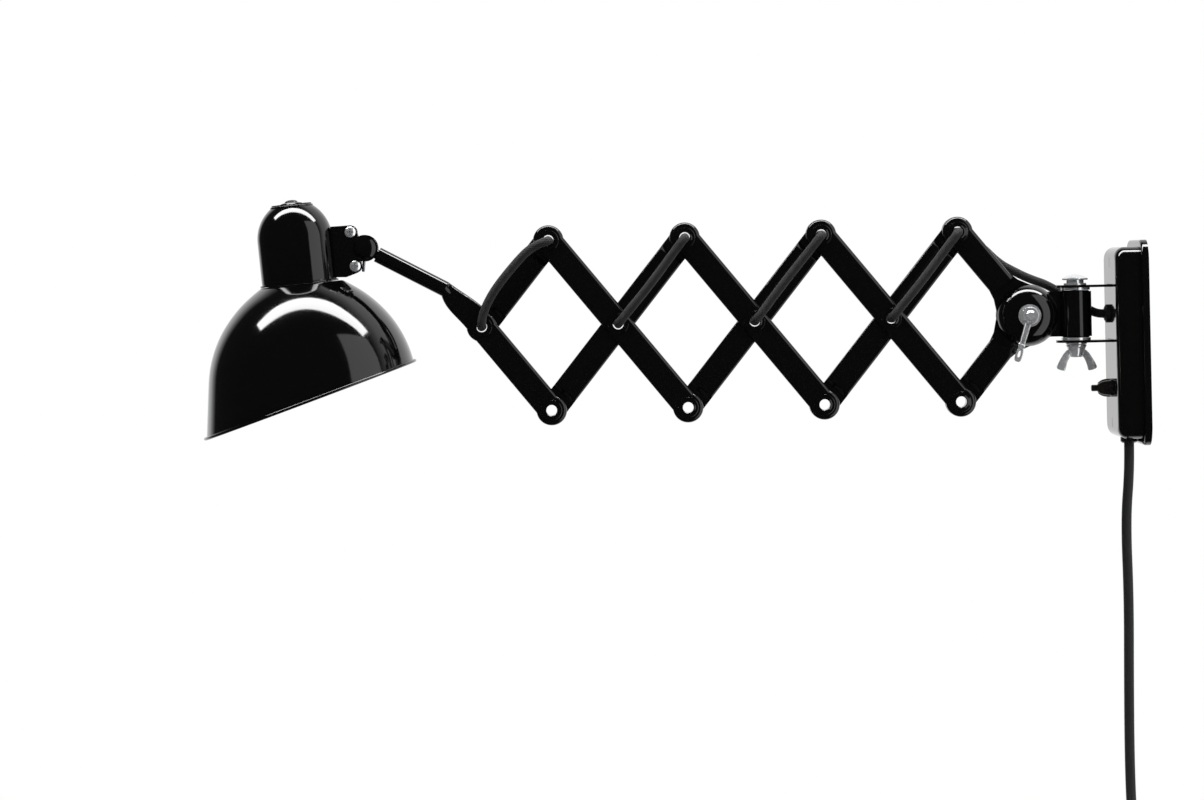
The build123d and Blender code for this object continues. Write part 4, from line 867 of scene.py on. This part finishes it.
finished = add_node(
    rib_tree, "GeometryNodeSetMaterial", links={"Geometry": real.outputs[0], "Material": given["Finish"]}
)
result = add_node(rib_tree, "NodeGroupOutput")
rib_tree.links.new(finished.outputs[0], result.inputs[0])

scene.collection.objects.link(plain_disc)
modifier = plain_disc.modifiers.new("ribs", "NODES")
modifier.node_group = rib_tree
depsgraph = bpy.context.evaluated_depsgraph_get()
ribbed_mesh = bpy.data.meshes.new_from_object(plain_disc.evaluated_get(depsgraph), depsgraph=depsgraph)
bpy.data.objects.remove(plain_disc)
ribbed_mesh.name = "ribbed_disc"
shade_smoothly(ribbed_mesh, 35)
ribbed_disc = make_piece("ribbed_disc", ribbed_mesh, None, "head", "cap_disc")

# %% [markdown]
# ## Stop pin
# A short pin stands under the ball joint, between its two plates, probably as a stop for the stem. The same
# lathe helper makes it, because it is a plain round rod with a small chamfer.

# %% Stop pin
pin_top = hub + Vector((-528.9, -3.5, 55.6)) * MM
pin_shape = bmesh.new()
pin_profile = ((0.02, 0), (1.25, 0), (1.25, 9.2), (0.9, 9.8), (0.02, 9.8))
turned(pin_shape, pin_profile, along_axis(pin_top, (-0.09, 0, -1)), 20)
stop_pin = make_piece("stop_pin", finish_shape("stop_pin", pin_shape), zinc_plate, "head")

# %% [markdown]
# ## Shade
# The shade is spun from one disc of sheet steel: a dome that steepens to a nearly straight wall, cut by a
# slanting plane, with a small bead rolled outwards round the rim. It is black outside and white inside. A
# lathe-like mesh is laid in columns, and each column stops where it meets the rim's plane, so the bead
# follows the slant cleanly.

# %% Shade
shade_centre = 2.0
shade_sheet = 1.0
shade_hole = 23.0
rim_middle_height = -92.35
rim_slope = 0.2633
bead_radius = 1.35
shade_columns = 160
shade_rows = 40
bead_steps = 8
collar_radius = 28.0
shade_profile = (
    (33.0, -0.3),
    (44.5, -8.0),
    (55.0, -17.0),
    (67.0, -31.0),
    (75.5, -46.5),
    (80.8, -62.0),
    (83.2, -78.0),
    (87.6, -110.0),
    (89.2, -122.0),
)


def through(points, steps=12):
    """A smooth curve that passes through every point (Catmull-Rom)."""
    padded = [points[0], *points, points[-1]]
    curve = []
    for before, start, end, after in zip(padded, padded[1:], padded[2:], padded[3:]):
        for step in range(steps):
            t = step / steps
            curve.append(
                tuple(
                    0.5
                    * (
                        2 * b
                        + (c - a) * t
                        + (2 * a - 5 * b + 4 * c - d) * t * t
                        + (3 * b - a - 3 * c + d) * t**3
                    )
                    for a, b, c, d in zip(before, start, end, after)
                )
            )
    return [*curve, points[-1]]


def eased(curve, passes=60):
    """The same curve with its small ripples evened out, as a spinner's roller does, its ends kept."""
    for _ in range(passes):
        curve = [
            curve[0],
            *(
                tuple(a / 4 + b / 2 + c / 4 for a, b, c in zip(before, place, after))
                for before, place, after in zip(curve, curve[1:], curve[2:])
            ),
            curve[-1],
        ]
    return curve


dome_curve = eased(through(shade_profile))


def dome_radius(height):
    """The dome's radius at a height."""
    for (r_high, high), (r_low, low) in zip(dome_curve, dome_curve[1:]):
        if low <= height <= high:
            return r_high + (r_low - r_high) * (high - height) / (high - low)
    return dome_curve[-1][0] if height < dome_curve[-1][1] else dome_curve[0][0]


def rim_height(angle):
    """Where a column of the dome meets the slanting rim."""
    height = rim_middle_height
    for _ in range(20):
        height = rim_middle_height + rim_slope * (shade_centre + dome_radius(height) * cos(angle))
    return height


def shade_column(angle):
    """Outside from the hole to the rim, round the bead, and up the inside: (radius, height, is inside)."""
    rim = rim_height(angle)
    top = dome_curve[0][1]
    outside = [(shade_hole, top), (collar_radius, top)]
    for row in range(shade_rows + 1):
        height = top + (rim + bead_radius - top) * (row / shade_rows) ** 1.15
        outside.append((dome_radius(height), height))
    edge = dome_radius(rim)
    bead = []
    for step in range(bead_steps + 1):
        turn = radians(110 - 250 * step / bead_steps)
        bead.append((edge + bead_radius * 0.75 + bead_radius * cos(turn), rim + bead_radius * sin(turn)))
    inside = [(radius - shade_sheet, height - 0.35 * shade_sheet) for radius, height in reversed(outside[2:])]
    closing = [(collar_radius, top - shade_sheet), (shade_hole, top - shade_sheet)]
    return outside + bead, inside + closing


shade_shape = bmesh.new()
columns = []
for column in range(shade_columns):
    angle = 2 * pi * column / shade_columns
    outer, inner = shade_column(angle)
    columns.append(
        [
            shade_shape.verts.new(
                head_point(shade_centre + radius * cos(angle), height, radius * sin(angle))
            )
            for radius, height in outer + inner
        ]
    )
outer_count = len(outer)
ring_count = len(columns[0])
for column, verts in enumerate(columns):
    beside = columns[(column + 1) % shade_columns]
    for row in range(ring_count):
        other = (row + 1) % ring_count
        face = shade_shape.faces.new((verts[row], beside[row], beside[other], verts[other]))
        face.material_index = 1 if outer_count - 2 <= row < ring_count - 1 else 0
bmesh.ops.recalc_face_normals(shade_shape, faces=shade_shape.faces)
shade_mesh = bpy.data.meshes.new("enamel_shade")
shade_shape.to_mesh(shade_mesh)
shade_shape.free()
shade_smoothly(shade_mesh, 50)
enamel_shade = make_piece("enamel_shade", shade_mesh, black_enamel, "head", "shade")
shade_mesh.materials.append(white_enamel)
print("shade faces", len(shade_mesh.polygons))

# %% [markdown]
# ## Floor
# The lamp is shown on plain white. A round floor catches its shadow, and a mix on Light Path lets the
# camera see it as white without adding light to the lamp. Towards its edge the floor glows fully, so that
# it runs into the white of the world. Nothing stands behind the lamp, so it can be seen from every side.

# %% Floor
studio_white, tree, shader = new_material("studio_white", Base_Color=colour("#f2f2f2"), Roughness=0.9)
path = add_node(tree, "ShaderNodeLightPath")
seen = add_node(
    tree,
    "ShaderNodeMath",
    links={0: path.outputs["Is Camera Ray"], 1: path.outputs["Is Glossy Ray"]},
    operation="MAXIMUM",
)
glow = add_node(tree, "ShaderNodeEmission", {"Color": colour("#ffffff"), "Strength": 1.0})
blend = add_node(tree, "ShaderNodeMixShader")
place = add_node(tree, "ShaderNodeTexCoord")
reach = add_node(tree, "ShaderNodeVectorMath", links={0: place.outputs["Object"]}, operation="LENGTH")
edge_glow = add_node(
    tree,
    "ShaderNodeMapRange",
    {"From Min": 1.0, "From Max": 2.3, "To Min": 0.93, "To Max": 1.0},
    {"Value": reach.outputs["Value"]},
)
share = add_node(
    tree, "ShaderNodeMath", links={0: seen.outputs[0], 1: edge_glow.outputs["Result"]}, operation="MULTIPLY"
)
tree.links.new(share.outputs[0], blend.inputs["Fac"])
tree.links.new(shader.outputs["BSDF"], blend.inputs[1])
tree.links.new(glow.outputs["Emission"], blend.inputs[2])
tree.links.new(blend.outputs["Shader"], tree.nodes["Material Output"].inputs["Surface"])

floor_height = -0.72
floor_radius = 2.6
floor_mesh = bpy.data.meshes.new("floor")
floor_points = [(right - 0.4, depth, floor_height) for right, depth in circle(floor_radius, 64)]
floor_mesh.from_pydata(floor_points, [], [list(range(len(floor_points)))])
floor_mesh.materials.append(studio_white)
floor = bpy.data.objects.new("floor", floor_mesh)
scene.collection.objects.link(floor)
floor.visible_glossy = False


# %% [markdown]
# ## Light
# Three soft boxes light the matt surfaces. A long strip overhead and a panel on the right show only in
# gloss, and draw the enamel's highlights. The world is white to the camera, dim for matt surfaces, and in
# gloss it is dark except behind the lamp, so that the enamel's edges turn bright.


# %% Lights
def soft_box(name, place, target, width, height, power, in_gloss=False):
    """A rectangular lamp that points at a target. It lights matt surfaces, or it shows in glossy ones."""
    data = bpy.data.lights.new(name, "AREA")
    data.shape = "RECTANGLE"
    data.size = width
    data.size_y = height
    data.energy = power
    lamp = bpy.data.objects.new(name, data)
    scene.collection.objects.link(lamp)
    lamp.visible_camera = False
    lamp.visible_glossy = in_gloss
    lamp.visible_diffuse = not in_gloss
    aim = (Vector(target) - Vector(place)).to_track_quat("-Z", "Y")
    lamp.matrix_world = Matrix.Translation(place) @ aim.to_matrix().to_4x4()
    return lamp


lamp_middle = (-0.4, 0, 0)
soft_box("key_box", (-1.6, -1.9, 1.5), lamp_middle, 1.1, 0.8, 38)
soft_box("side_box", (1.1, -1.5, 0.5), lamp_middle, 0.35, 1.4, 16)
soft_box("rim_box", (-0.4, 1.0, 1.6), lamp_middle, 1.6, 0.5, 18)
soft_box("top_strip", (-0.55, 0.02, 1.5), (-0.55, 0.02, 0), 3.2, 0.4, 78, in_gloss=True)
soft_box("right_panel", (0.98, -0.55, 0.1), (0.4, 0.26, 0.1), 1.5, 3.4, 22, in_gloss=True)

world = bpy.data.worlds.new("studio")
scene.world = world
world.use_nodes = True
tree = world.node_tree
path = add_node(tree, "ShaderNodeLightPath")
sky = add_node(tree, "ShaderNodeTexCoord")
towards = add_node(
    tree, "ShaderNodeVectorMath", {1: (0.4, 1.0, 0.0)}, {0: sky.outputs["Generated"]}, operation="DOT_PRODUCT"
)
card = add_node(
    tree,
    "ShaderNodeMapRange",
    {"From Min": 0.35, "From Max": 0.6, "To Min": 0.03, "To Max": 1.0},
    {"Value": towards.outputs["Value"]},
)
room = add_node(
    tree,
    "ShaderNodeMix",
    {"A": 0.45},
    {"Factor": path.outputs["Is Glossy Ray"], "B": card.outputs["Result"]},
)
strength = add_node(
    tree,
    "ShaderNodeMix",
    {"B": 1.0},
    {"Factor": path.outputs["Is Camera Ray"], "A": room.outputs["Result"]},
)
tree.links.new(strength.outputs["Result"], tree.nodes["Background"].inputs["Strength"])
tree.nodes["Background"].inputs["Color"].default_value = colour("#ffffff")
scene.view_settings.view_transform = "Standard"
